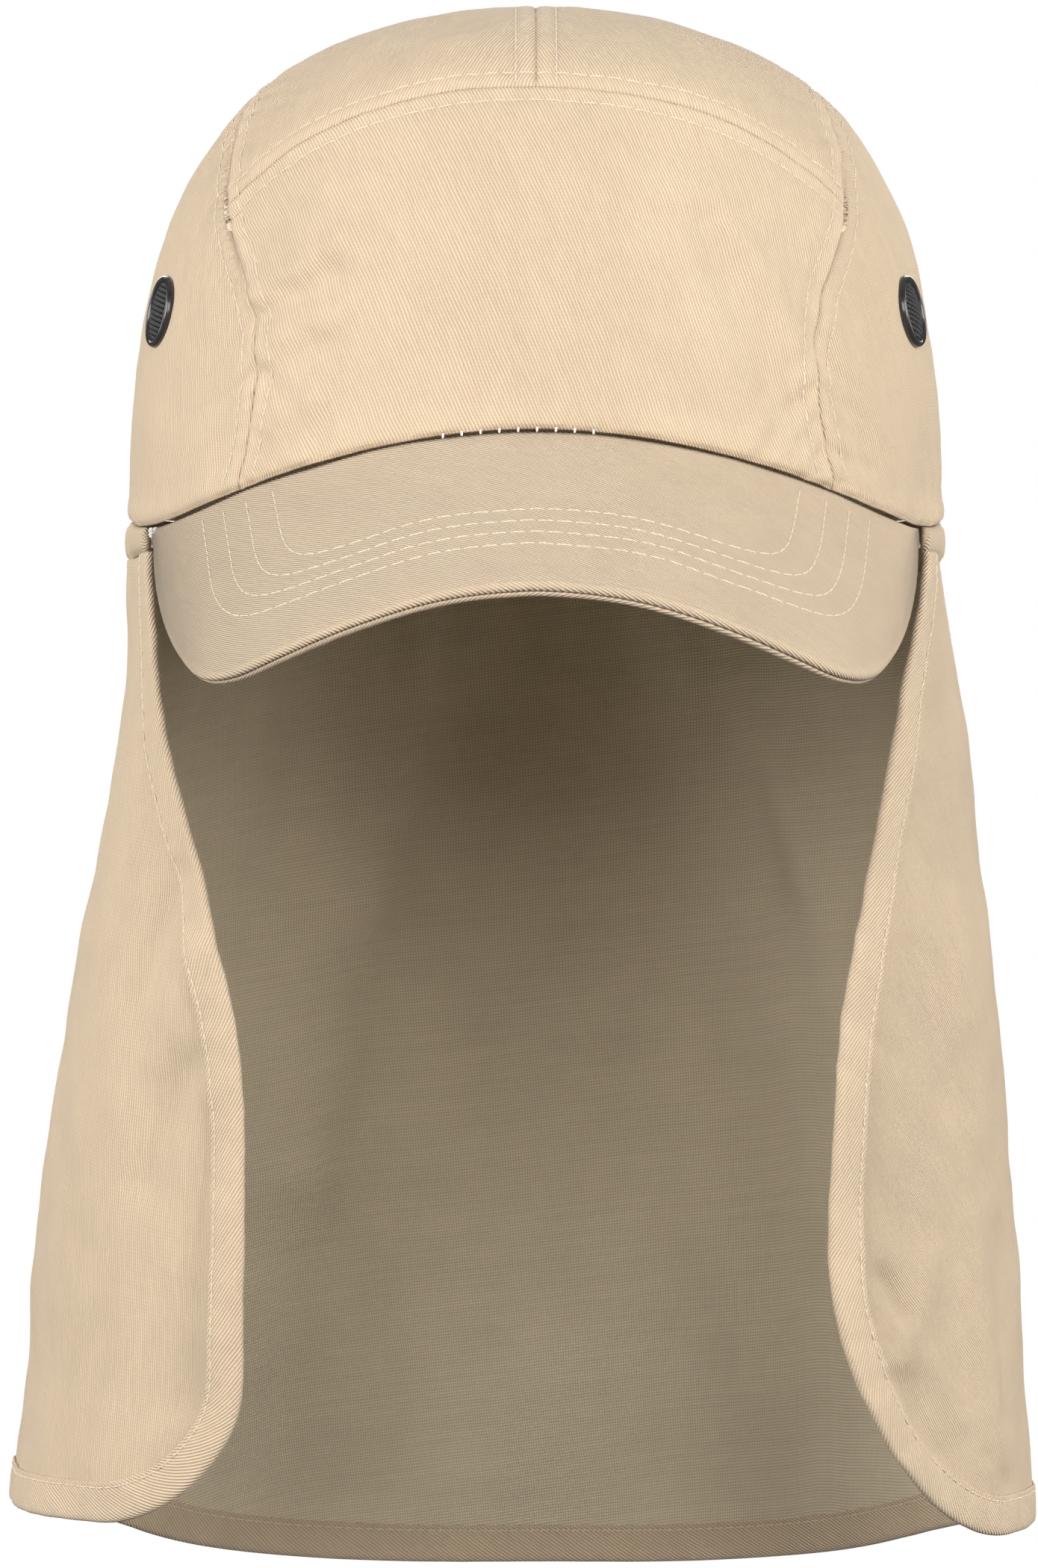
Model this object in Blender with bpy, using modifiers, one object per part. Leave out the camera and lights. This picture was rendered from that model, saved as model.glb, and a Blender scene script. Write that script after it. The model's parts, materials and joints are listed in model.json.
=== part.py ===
"""Legionnaire cap: a sewn cotton crown, a curved peak and a neck flap that hangs from a gathered rear band.

Metres, +Z up, the peak points along -Y. The origin is the centre of the rim, where the head goes in.
"""

import math

import bmesh
import bpy
import numpy as np
from mathutils import Matrix, Vector

# Crown
CROWN_WIDTH = 0.177
CROWN_LENGTH = 0.200
CROWN_HEIGHT = 0.1162
CROWN_SHOULDER = 2.75  # exponent of the upright outline: 2 is an ellipse, more is boxier
RIM_SHOULDER = 2.2  # the same for the outline seen from above
CLOTH = 0.0012
SEAM_GAP = 0.0003
RIM_CLEARANCE = 0.0005  # more than a seam's, because the rim's straight facets cut its curve

# Seams of the crown
FRONT_SEAM_INSET = 0.0255  # of each side seam from the crown's side, at the front rim
TOP_SEAM_INSET = 0.0225  # the same at the top seam
REAR_SEAM_INSET = 0.0425  # the same at the rear rim
FRONT_WAIST = 0.0055  # how far each side seam bows in, halfway up the front
TOP_SEAM_ANGLE = math.radians(51.3)  # of the plane through the X axis that the seam lies in
REAR_CORNER_ANGLE = math.radians(137)  # where the side panel turns down to the rear rim

# Peak
FRONT_RISE = 0.019  # height of the peak's top at the crown, on the centre line
PEAK_INSET = 0.00575  # of each end of the peak from the crown's side
PEAK_LENGTH = 0.066
PEAK_BEND = math.radians(59)  # how far the peak turns down from its centre line to each end
PEAK_SLOPE = math.radians(30)
PEAK_LEAF = 0.0015  # each of the two covered halves

# Gathered band round the back of the rim
BAND_HEIGHT = 0.0105
BAND_END_HEIGHT = 0.0045
BAND_THICKNESS = 0.0020
BAND_LIFT = 0.0036  # how far the rim rises behind the ends of the peak
BAND_RISE_ANGLE = math.radians(30)
BAND_END_CLEARANCE = math.radians(2.6)  # between the end of the peak and the band
GATHERS = 21  # crests from end to end
GATHER_DEPTH = 0.0008
GATHER_REACH = 0.024  # how far the gathers run down the flap

# Neck flap
FLAP_CLOTH = 0.0010
FLAP_DROP = 0.2275  # from the band to the hem, at the centre of the back
HEM_RISE_LEFT = 0.0232
HEM_RISE_RIGHT = 0.0180
CORNER_LEFT = 0.031
CORNER_RIGHT = 0.058
HEM_LEVEL = 0.9  # share of the drop at which the corners are
FOLD_FULL_LEVEL = 0.35  # share of the drop at which the folds have their full depth
FOLD_EDGE_ANGLE = math.radians(24)  # over which they fade out towards a front edge
BINDING_WIDTH = 0.0080
BINDING_CLOTH = 0.0010
BINDING_CLEARANCE = 0.0005  # more than a seam's, because both follow the flap's curve in facets

# Vents
VENT_HOLE_RADIUS = 0.0058
VENT_BARREL_WALL = 0.0009
VENT_FLANGE_WIDTH = 0.00105
VENT_FLANGE = 0.0011
VENT_MESH = 0.0006
VENT_CLEARANCE = 0.0005
VENT_FORWARD = 0.0385
VENT_HEIGHT = 0.0480

# Outer edge of the peak, from the centre line to its end: the share of the half width along the
# bend, and the share of the peak's length that it reaches out from the crown.
PEAK_EDGE = (
    {"across": 0.000, "reach": 1.000},
    {"across": 0.200, "reach": 1.022},
    {"across": 0.390, "reach": 1.085},
    {"across": 0.560, "reach": 1.150},
    {"across": 0.680, "reach": 1.175},
    {"across": 0.775, "reach": 1.105},
    {"across": 0.850, "reach": 0.920},
    {"across": 0.915, "reach": 0.680},
    {"across": 0.965, "reach": 0.400},
    {"across": 0.992, "reach": 0.120},
)

# Level sections of the neck flap. Level is the share of FLAP_DROP below the band. Left and right are
# half widths as shares of the band's, depth is the half length as a share of the band's, and back is
# how far the section's middle lies behind the origin as a share of the band's half length.
FLAP_SECTIONS = (
    {"level": 0.00, "left": 1.000, "right": 1.000, "depth": 1.000, "back": 0.000},
    {"level": 0.10, "left": 1.012, "right": 1.036, "depth": 0.965, "back": 0.030},
    {"level": 0.20, "left": 1.060, "right": 1.080, "depth": 0.945, "back": 0.058},
    {"level": 0.30, "left": 1.114, "right": 1.105, "depth": 0.936, "back": 0.080},
    {"level": 0.40, "left": 1.165, "right": 1.128, "depth": 0.934, "back": 0.098},
    {"level": 0.60, "left": 1.242, "right": 1.166, "depth": 0.936, "back": 0.128},
    {"level": 0.80, "left": 1.297, "right": 1.214, "depth": 0.938, "back": 0.150},
    {"level": 1.00, "left": 1.358, "right": 1.222, "depth": 0.945, "back": 0.158},
)

# The flap's two front edges at the same levels: degrees round the section past the ends of the band.
FLAP_EDGES = (
    {"level": 0.00, "left": 0.0, "right": 0.0},
    {"level": 0.10, "left": 7.2, "right": 11.5},
    {"level": 0.20, "left": 16.4, "right": 19.8},
    {"level": 0.30, "left": 26.0, "right": 25.8},
    {"level": 0.40, "left": 33.2, "right": 30.8},
    {"level": 0.60, "left": 38.2, "right": 35.0},
    {"level": 0.80, "left": 39.4, "right": 35.9},
    {"level": 1.00, "left": 39.8, "right": 36.2},
)

# Soft folds of the flap. Angle is in degrees from the centre of the back at the hem, lean is how far
# the fold wanders from there to the band, spread is its half width in degrees, and depth is its
# height as a share of the band's half width.
FLAP_FOLDS = (
    {"angle": -128, "lean": 14, "spread": 15, "depth": 0.022},
    {"angle": -98, "lean": 10, "spread": 13, "depth": -0.014},
    {"angle": -56, "lean": 26, "spread": 15, "depth": -0.030},
    {"angle": -30, "lean": 22, "spread": 13, "depth": 0.040},
    {"angle": -2, "lean": 4, "spread": 13, "depth": -0.026},
    {"angle": 30, "lean": -14, "spread": 12, "depth": 0.032},
    {"angle": 58, "lean": -22, "spread": 13, "depth": -0.028},
    {"angle": 96, "lean": -8, "spread": 15, "depth": 0.020},
    {"angle": 126, "lean": -12, "spread": 12, "depth": -0.018},
)

# Dents of the crown, placed by their shares of the half width, half length and height. Size is the
# radius and depth the push inward, both as shares of the half width.
CROWN_DENTS = (
    {"x": -0.72, "y": -0.72, "z": 0.50, "size": 0.20, "depth": 0.016},
    {"x": 0.72, "y": -0.72, "z": 0.42, "size": 0.22, "depth": 0.020},
    {"x": -0.92, "y": -0.42, "z": 0.16, "size": 0.20, "depth": -0.012},
    {"x": 0.34, "y": -0.86, "z": 0.56, "size": 0.22, "depth": 0.010},
    {"x": 0.84, "y": -0.10, "z": 0.72, "size": 0.40, "depth": -0.014},
    {"x": -0.62, "y": 0.62, "z": 0.55, "size": 0.34, "depth": 0.024},
    {"x": 0.60, "y": 0.66, "z": 0.50, "size": 0.32, "depth": 0.022},
    {"x": 0.54, "y": 0.05, "z": 0.93, "size": 0.48, "depth": 0.031},
    {"x": -0.48, "y": 0.00, "z": 0.95, "size": 0.44, "depth": 0.026},
)

# Grid steps, from seam to seam
ACROSS_FRONT = 14
UP_FRONT = 8
ALONG_TOP = 16
PEAK_STEPS = 15  # in each half
PEAK_ROWS = 4
BAND_STEPS_PER_GATHER = 4
FLAP_CORNER_STEPS = 7
FLAP_ROWS = 14
FLAP_ROW_SPREAD = 1.25  # over 1, the rows are closer together at the top
VENT_SIDES = 24

HALF_WIDTH = CROWN_WIDTH / 2
HALF_LENGTH = CROWN_LENGTH / 2
INSIDE_WALL = CLOTH / 2
BAND_HALF_WIDTH = HALF_WIDTH - INSIDE_WALL
BAND_HALF_LENGTH = HALF_LENGTH - INSIDE_WALL
PEAK_HALF_WIDTH = HALF_WIDTH - PEAK_INSET
PEAK_RADIUS = PEAK_HALF_WIDTH / math.sin(PEAK_BEND)
VENT_BARREL_RADIUS = VENT_HOLE_RADIUS + VENT_BARREL_WALL
VENT_RADIUS = VENT_BARREL_RADIUS + VENT_FLANGE_WIDTH


def ease(value):
    """0 to 1 with level ends."""
    t = np.clip(value, 0.0, 1.0)
    return t * t * (3 - 2 * t)


def signed_power(value, power):
    return np.sign(value) * np.abs(value) ** power


def column(table, name):
    return np.array([row[name] for row in table], float)


def smooth_between(keys, values, at):
    """A smooth curve through the table's values, with the slope at each row taken from its neighbours."""
    slopes = np.gradient(values, keys)
    i = np.clip(np.searchsorted(keys, at, side="right") - 1, 0, len(keys) - 2)
    step = keys[i + 1] - keys[i]
    t = np.clip((at - keys[i]) / step, 0.0, 1.0)
    start = (1 + 2 * t) * (1 - t) ** 2 * values[i] + t * (1 - t) ** 2 * step * slopes[i]
    return start + t * t * (3 - 2 * t) * values[i + 1] + t * t * (t - 1) * step * slopes[i + 1]


def crown_share(point):
    """1 on the crown's surface, less inside it."""
    x, y, z = np.moveaxis(point, -1, 0)
    level = np.abs(x / HALF_WIDTH) ** RIM_SHOULDER + np.abs(y / HALF_LENGTH) ** RIM_SHOULDER
    upright = level ** (CROWN_SHOULDER / RIM_SHOULDER) + np.abs(z / CROWN_HEIGHT) ** CROWN_SHOULDER
    return upright ** (1 / CROWN_SHOULDER)


def gather_wave(turn):
    """Ruffles round the back, even either side of its centre and still at the ends of the band."""
    end = band_end()
    fade = ease((end - np.abs(turn)) / BAND_RISE_ANGLE)
    uneven = 0.75 + 0.25 * np.cos(5.0 * turn + 0.8)
    return fade * uneven * np.cos(turn / end * GATHERS * math.pi)


def crown_relief(point):
    """How far the cloth stands out from the plain crown at its dents."""
    relief = np.zeros(point.shape[:-1])
    for dent in CROWN_DENTS:
        centre = np.array([dent["x"] * HALF_WIDTH, dent["y"] * HALF_LENGTH, dent["z"] * CROWN_HEIGHT])
        centre = centre / crown_share(centre)
        away = np.linalg.norm(point - centre, axis=-1) / (dent["size"] * HALF_WIDTH)
        relief -= dent["depth"] * HALF_WIDTH * np.exp(-away * away)
    return relief


def on_crown(point, outward=0.0):
    """The point pushed out from the origin onto the crown, then outward by a wall's share."""
    surface = point / crown_share(point)[..., None]
    reach = np.linalg.norm(surface, axis=-1)
    return surface * (1 + (outward + crown_relief(surface)) / reach)[..., None]


def strip_point(x, turn_up, outward=0.0):
    """A point of the middle strip: x across it, and the angle up from the front, about the X axis."""
    low, high = np.zeros_like(x), np.full_like(x, 2 * max(HALF_LENGTH, CROWN_HEIGHT))
    across = np.array([-np.cos(turn_up), np.sin(turn_up)])
    for _ in range(48):
        middle = (low + high) / 2
        inside = crown_share(np.stack([x, across[0] * middle, across[1] * middle], -1)) < 1
        low, high = np.where(inside, middle, low), np.where(inside, high, middle)
    return on_crown(np.stack([x, across[0] * low, across[1] * low], -1), outward)


def section_point(turn, half_width, half_length):
    """A point of a level section. Turn is the section's own angle, 0 at the centre of the back."""
    power = 2 / RIM_SHOULDER
    return half_width * signed_power(np.sin(turn), power), half_length * signed_power(np.cos(turn), power)


def section_turn(x, y, half_width, half_length):
    """The section's own angle of a point on it."""
    power = RIM_SHOULDER / 2
    return np.arctan2(signed_power(x / half_width, power), signed_power(y / half_length, power))


def band_point(turn):
    """The plain rim, in the middle of the crown's wall."""
    return section_point(turn, BAND_HALF_WIDTH, BAND_HALF_LENGTH)


def peak_end():
    """The rim angle at the ends of the peak."""
    return math.pi - math.asin((PEAK_HALF_WIDTH / HALF_WIDTH) ** (RIM_SHOULDER / 2))


def band_end():
    return peak_end() - BAND_END_CLEARANCE


def peak_height(x, y):
    """Top of the peak's bent sheet over a point of the floor plan."""
    drop = PEAK_RADIUS - np.sqrt(PEAK_RADIUS**2 - x * x)
    along = (-HALF_LENGTH + drop * math.sin(PEAK_SLOPE) - y) / math.cos(PEAK_SLOPE)
    return FRONT_RISE - drop * math.cos(PEAK_SLOPE) - along * math.sin(PEAK_SLOPE)


def rim_on_peak(turn):
    """Height of the peak's top under the inner face of the crown's wall."""
    x, y = band_point(turn)
    inner_face = 1 - INSIDE_WALL / np.hypot(x, y)
    x = np.clip(x, -PEAK_HALF_WIDTH, PEAK_HALF_WIDTH)
    return peak_height(x * inner_face, y * inner_face)


def rim_height(turn):
    """Height of the crown's lower edge: along the peak in front, and on the band behind its ends."""
    behind = rim_on_peak(peak_end()) + BAND_LIFT * ease((band_end() - np.abs(turn)) / BAND_RISE_ANGLE)
    return np.where(np.abs(turn) > peak_end(), rim_on_peak(turn), behind) + RIM_CLEARANCE


def rim_point(turn, outward=-INSIDE_WALL):
    x, y = band_point(turn)
    return on_crown(np.stack([x, y, rim_height(turn)], -1), outward)


def seam_half_width(turn_up):
    """Half the middle strip's width, from the front rim over the top to the narrower rear."""
    up = np.clip(turn_up / TOP_SEAM_ANGLE, 0.0, 1.0)
    back = ease((turn_up - TOP_SEAM_ANGLE) / (REAR_CORNER_ANGLE - TOP_SEAM_ANGLE))
    inset = FRONT_SEAM_INSET + (TOP_SEAM_INSET - FRONT_SEAM_INSET) * up
    inset += (REAR_SEAM_INSET - TOP_SEAM_INSET) * back + FRONT_WAIST * np.sin(up * math.pi) ** 2
    return HALF_WIDTH - inset


def rim_turn_up(x, front):
    """The strip's angle at the rim, for a point x across. It is past half a turn where the rear rim
    hangs below the origin."""
    sign = -1.0 if front else 1.0
    share = np.abs(x / BAND_HALF_WIDTH) ** RIM_SHOULDER
    y = sign * BAND_HALF_LENGTH * (1 - share) ** (1 / RIM_SHOULDER)
    turn_up = np.arctan2(rim_height(section_turn(x, y, BAND_HALF_WIDTH, BAND_HALF_LENGTH)), -y)
    return turn_up if front else turn_up % (2 * math.pi)


def grid_object(name, columns, rows, place, thickness, material, offset=0.0):
    """A primitive grid whose points are moved onto a surface, given its cloth by Solidify."""
    bpy.ops.mesh.primitive_grid_add(x_subdivisions=columns, y_subdivisions=rows, size=2)
    obj = bpy.context.object
    obj.name = obj.data.name = name
    flat = np.array([v.co for v in obj.data.vertices])
    placed = place((flat[:, 0] + 1) / 2, (flat[:, 1] + 1) / 2)
    obj.data.vertices.foreach_set("co", placed.astype(np.float32).ravel())
    wall = obj.modifiers.new("Cloth", "SOLIDIFY")
    wall.thickness = thickness
    wall.offset = offset
    wall.use_even_offset = True
    finish(obj, material)
    return obj


def loft_object(name, sections, cap, material):
    """A closed body through closed sections of equal count. Cap lists the faces of an end by the
    section's own points."""
    mesh = bpy.data.meshes.new(name)
    obj = bpy.data.objects.new(name, mesh)
    bpy.context.scene.collection.objects.link(obj)
    bm = bmesh.new()
    rings = [[bm.verts.new(point) for point in section] for section in sections]
    around = len(rings[0])
    for first, second in zip(rings, rings[1:]):
        for i in range(around):
            j = (i + 1) % around
            bm.faces.new((first[i], first[j], second[j], second[i]))
    for corners in cap:
        bm.faces.new([rings[0][i] for i in reversed(corners)])
        bm.faces.new([rings[-1][i] for i in corners])
    bmesh.ops.recalc_face_normals(bm, faces=bm.faces)
    bm.to_mesh(mesh)
    bm.free()
    finish(obj, material)
    return obj


def finish(obj, material):
    obj.data.materials.clear()
    obj.data.materials.append(material)
    obj.data.shade_smooth()
    for owner in list(obj.users_collection):
        owner.objects.unlink(obj)
    bpy.data.collections["Legionnaire cap"].objects.link(obj)


def principled(name, colour, roughness, metallic=0.0):
    material = bpy.data.materials.new(name)
    material.use_nodes = True
    shader = material.node_tree.nodes["Principled BSDF"]
    shader.inputs["Base Color"].default_value = (*colour, 1.0)
    shader.inputs["Roughness"].default_value = roughness
    shader.inputs["Metallic"].default_value = metallic
    return material


def front_panel(material):
    """From the peak up to the top seam, between the two side seams."""

    def place(u, v):
        stop = TOP_SEAM_ANGLE - SEAM_GAP / 2 / HALF_LENGTH
        turn_up = stop * v
        for _ in range(3):
            x = (2 * u - 1) * (seam_half_width(turn_up) - SEAM_GAP / 2)
            start = rim_turn_up(x, front=True)
            turn_up = start + (stop - start) * v
        return strip_point(x, turn_up, -INSIDE_WALL)

    grid_object("front_panel", ACROSS_FRONT, UP_FRONT, place, CLOTH, material)


def top_steps():
    """Angles of the shared points along a side seam, from the top seam to the rear rim."""
    rear = float(rim_turn_up(np.array(HALF_WIDTH - REAR_SEAM_INSET), front=False))
    over = np.linspace(TOP_SEAM_ANGLE, REAR_CORNER_ANGLE, ALONG_TOP + 1)
    down = np.linspace(REAR_CORNER_ANGLE, rear, UP_FRONT + 1)
    return over, down


def top_panel(name, side, material):
    """One half of the strip that runs over the top and down to the rear rim."""
    over, down = top_steps()
    angles = np.concatenate([over, down[1:]])
    shares = (angles - angles[0]) / (angles[-1] - angles[0])

    def place(u, v):
        v = np.interp(v, np.linspace(0, 1, len(shares)), shares)
        start = TOP_SEAM_ANGLE + SEAM_GAP / 2 / HALF_LENGTH
        near = SEAM_GAP / 2
        turn_up = start + (angles[-1] - start) * v
        for _ in range(3):
            x = near + (seam_half_width(turn_up) - 2 * near) * u
            stop = rim_turn_up(x, front=False)
            turn_up = start + (stop - start) * v
        return strip_point(side * x, turn_up, -INSIDE_WALL)

    return grid_object(name, ACROSS_FRONT // 2, ALONG_TOP + UP_FRONT, place, CLOTH, material)


def seam_curve(side, angles):
    return strip_point(side * seam_half_width(angles), angles, -INSIDE_WALL)


def blend_patch(u, v, bottom, top, left, right):
    """Coons patch: the surface between four edge curves, each given at the grid's own steps."""

    def along(curve, t):
        at = t * (len(curve) - 1)
        i = np.clip(at.astype(int), 0, len(curve) - 2)
        share = (at - i)[:, None]
        return curve[i] * (1 - share) + curve[i + 1] * share

    uu, vv = u[:, None], v[:, None]
    ruled = along(bottom, u) * (1 - vv) + along(top, u) * vv
    ruled += along(left, v) * (1 - uu) + along(right, v) * uu
    corners = (1 - uu) * ((1 - vv) * bottom[0] + vv * top[0]) + uu * ((1 - vv) * bottom[-1] + vv * top[-1])
    return ruled - corners


def even_turns(start, stop, steps):
    """Rim angles at even distances along the rim."""
    turns = np.linspace(start, stop, 40 * steps)
    x, y = band_point(turns)
    walked = np.concatenate([[0.0], np.cumsum(np.hypot(np.diff(x), np.diff(y)))])
    return np.interp(np.linspace(0, walked[-1], steps + 1), walked, turns)


def side_panel(name, side, material):
    """The D-shaped side, from the front foot of its seam round to the rear foot."""
    over, down = top_steps()
    foot = 0.0
    for _ in range(3):
        foot = float(rim_turn_up(np.array(seam_half_width(foot)), front=True))
    front = seam_curve(side, np.linspace(foot, TOP_SEAM_ANGLE, UP_FRONT + 1))
    top = seam_curve(side, over)
    rear = seam_curve(side, down)[::-1]
    feet = [section_turn(*foot[:2], BAND_HALF_WIDTH, BAND_HALF_LENGTH) for foot in (front[0], rear[0])]
    rim = rim_point(even_turns(*feet, ALONG_TOP))

    def place(u, v):
        pulled = blend_patch(u, v, rim, top, front, rear)
        surface = on_crown(pulled, -INSIDE_WALL)
        # Steps back from the seam on three sides; the rim already has its gap.
        half = np.array([0.5])
        middle = on_crown(blend_patch(half, half, rim, top, front, rear), -INSIDE_WALL)
        inward = middle - surface
        inward /= np.maximum(np.linalg.norm(inward, axis=1), SEAM_GAP)[:, None]
        at_seam = (u < 1e-6) | (u > 1 - 1e-6) | (v > 1 - 1e-6)
        return surface + inward * (at_seam * SEAM_GAP)[:, None]

    return grid_object(name, ALONG_TOP, UP_FRONT, place, CLOTH, material)


def peak_sheet(across, reach, below):
    """A point of the peak: the share of its half width along the bend, the distance out from the
    inner face of the crown's wall, and the distance below its top."""
    bend = across * PEAK_BEND
    x = PEAK_RADIUS * np.sin(bend)
    drop = PEAK_RADIUS * (1 - np.cos(bend))
    share = np.clip(1 - np.abs(x / (HALF_WIDTH - CLOTH)) ** RIM_SHOULDER, 0.0, 1.0)
    root_y = -(HALF_LENGTH - CLOTH) * share ** (1 / RIM_SHOULDER)
    along = (-HALF_LENGTH + drop * math.sin(PEAK_SLOPE) - root_y) / math.cos(PEAK_SLOPE) + reach
    forward = np.array([0, -math.cos(PEAK_SLOPE), -math.sin(PEAK_SLOPE)])
    up = np.array([0, -math.sin(PEAK_SLOPE), math.cos(PEAK_SLOPE)])
    outward = np.stack([np.sin(bend), np.cos(bend) * up[1], np.cos(bend) * up[2]], -1)
    start = np.stack([x, -HALF_LENGTH - drop * up[1], FRONT_RISE - drop * up[2]], -1)
    return start + along[:, None] * forward - below * outward


def peak_leaf(name, below, material):
    """One covered half of the peak: the upper or the under one."""
    steps = np.arange(len(PEAK_EDGE), dtype=float)
    across, reach = column(PEAK_EDGE, "across"), column(PEAK_EDGE, "reach")

    def place(u, v):
        row = np.abs(2 * u - 1) * steps[-1]
        out = smooth_between(steps, reach, row) * PEAK_LENGTH
        share = np.sign(2 * u - 1) * smooth_between(steps, across, row)
        return peak_sheet(share, out * v, below)

    return grid_object(name, 2 * PEAK_STEPS, PEAK_ROWS, place, PEAK_LEAF, material)


def band_section(turn):
    """The gathered band's section at a rim angle: rounder outside, flat inside."""
    top = float(rim_height(turn)) - RIM_CLEARANCE
    share = float(ease((band_end() - abs(turn)) / BAND_RISE_ANGLE))
    height = BAND_END_HEIGHT + (BAND_HEIGHT - BAND_END_HEIGHT) * share
    wave = float(gather_wave(turn)) * GATHER_DEPTH
    x, y = band_point(turn)
    away = math.hypot(x, y)
    out = np.array([x / away, y / away])
    outline = (
        (-INSIDE_WALL, 0.00),
        (-INSIDE_WALL + BAND_THICKNESS * 0.72 + wave * 0.5, 0.02),
        (-INSIDE_WALL + BAND_THICKNESS + wave, 0.32),
        (-INSIDE_WALL + BAND_THICKNESS + wave, 0.68),
        (-INSIDE_WALL + BAND_THICKNESS * 0.72 + wave * 0.5, 0.98),
        (-INSIDE_WALL, 1.00),
    )
    return [(*(np.array([x, y]) + out * r), top - height * z) for r, z in outline]


def elastic_band(material):
    ends = band_end()
    turns = np.linspace(-ends, ends, GATHERS * BAND_STEPS_PER_GATHER + 1)
    whole = (tuple(range(len(band_section(0.0)))),)
    loft_object("elastic_band", [band_section(turn) for turn in turns], whole, material)


def flap_top(turn):
    """Height of the flap's upper edge, just under the band."""
    top = rim_height(turn) - 2 * RIM_CLEARANCE
    share = ease((band_end() - np.abs(turn)) / BAND_RISE_ANGLE)
    return top - BAND_END_HEIGHT - (BAND_HEIGHT - BAND_END_HEIGHT) * share


def flap_level(z):
    top = float(flap_top(np.array(0.0)))
    return np.clip((top - z) / FLAP_DROP, 0.0, 1.0)


def flap_edge(level, side):
    """The section's angle at one front edge: side is -1 or 1."""
    levels = column(FLAP_EDGES, "level")
    left = smooth_between(levels, column(FLAP_EDGES, "left"), level)
    right = smooth_between(levels, column(FLAP_EDGES, "right"), level)
    return band_end() + np.radians(np.where(side < 0, left, right))


def flap_section(level):
    """A level section's half widths left and right, its half length, and how far behind the origin it is."""
    levels = column(FLAP_SECTIONS, "level")
    names = ("left", "right", "depth", "back")
    left, right, depth, back = (smooth_between(levels, column(FLAP_SECTIONS, name), level) for name in names)
    return left * BAND_HALF_WIDTH, right * BAND_HALF_WIDTH, depth * BAND_HALF_LENGTH, back * BAND_HALF_LENGTH


def fold_height(turn, level):
    """The folds, which fade out towards the band and the two front edges."""
    total = np.zeros_like(turn)
    for fold in FLAP_FOLDS:
        centre = np.radians(fold["angle"] + fold["lean"] * (1 - level))
        away = (turn - centre) / math.radians(fold["spread"])
        total += fold["depth"] * np.exp(-away * away)
    near_edge = ease((flap_edge(level, np.sign(turn)) - np.abs(turn)) / FOLD_EDGE_ANGLE)
    return total * BAND_HALF_WIDTH * ease(level / FOLD_FULL_LEVEL) * near_edge


def flap_point(turn, z, outward=0.0):
    """A point of the flap's middle surface, at a section's own angle and a height."""
    level = flap_level(z)
    left, right, depth, back = flap_section(level)
    across, along = section_point(turn, np.where(turn < 0, left, right), depth)
    below = np.maximum(flap_top(turn) - z, 0.0) / GATHER_REACH
    ruffle = GATHER_DEPTH * gather_wave(turn) * np.exp(-2.0 * below * below)
    bulge = fold_height(turn, level) + ruffle + outward
    grow = 1 + bulge / np.hypot(across, along)
    return np.stack([across * grow, back + along * grow, z], -1)


def flap_hem(share):
    """Height of the hem for a share from the centre of the back to a front edge, -1 to 1."""
    side = np.sign(share)
    turn = share * flap_edge(np.full_like(share, HEM_LEVEL), side)
    rise = np.where(side < 0, HEM_RISE_LEFT, HEM_RISE_RIGHT)
    bottom = flap_top(np.zeros_like(share)) - FLAP_DROP
    around = rise * np.abs(np.sin(np.clip(turn, -math.pi / 2, math.pi / 2))) ** 3
    radius = np.where(side < 0, CORNER_LEFT, CORNER_RIGHT)
    inward = np.clip((1 - np.abs(share)) / corner_share(side), 0.0, 1.0)
    return bottom + around + radius * (1 - np.sqrt(1 - (1 - inward) ** 2))


def corner_share(side):
    """The share of the way to the centre of the back that a rounded front corner takes."""
    radius = np.where(side < 0, CORNER_LEFT, CORNER_RIGHT)
    reach = flap_edge(np.full_like(radius, HEM_LEVEL), side) * (BAND_HALF_WIDTH + BAND_HALF_LENGTH) / 2
    return radius / reach


def flap_shares():
    """The flap's columns: close together round the two corners, then one on each crest and hollow."""
    corner = 1 - np.cos(np.linspace(0, math.pi / 2, FLAP_CORNER_STEPS + 1))
    left = float(corner_share(np.array(-1.0)))
    right = float(corner_share(np.array(1.0)))
    body = np.arange(-GATHERS, GATHERS + 1) / GATHERS
    body = body[(body > -1 + left + 0.4 / GATHERS) & (body < 1 - right - 0.4 / GATHERS)]
    return np.concatenate([-1 + left * corner, body, (1 - right * corner)[::-1]])


def flap_at(share, down):
    """The flap by its column's share and the share of the way down that column."""
    top = flap_top(share * band_end())
    z = top + (flap_hem(share) - top) * down
    turn = share * flap_edge(flap_level(z), np.sign(share))
    return turn, z


def neck_flap(material):
    shares = flap_shares()

    def place(u, v):
        share = np.interp(u, np.linspace(0, 1, len(shares)), shares)
        turn, z = flap_at(share, v**FLAP_ROW_SPREAD)
        return flap_point(turn, z)

    grid_object("neck_flap", len(shares) - 1, FLAP_ROWS, place, FLAP_CLOTH, material)


def flap_normal(turn, z):
    """Outward unit normal of the flap."""
    small = 1e-4
    around = flap_point(turn + small, z) - flap_point(turn - small, z)
    upward = flap_point(turn, z + small) - flap_point(turn, z - small)
    normal = np.cross(upward, around)
    return normal / np.linalg.norm(normal, axis=-1)[..., None]


def nearest_on_flap(point):
    """The section's angle of a point near the flap, found level with it."""
    x, y, z = np.moveaxis(point, -1, 0)
    left, right, depth, back = flap_section(flap_level(z))
    return section_turn(x, y - back, np.where(x < 0, left, right), depth)


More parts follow.
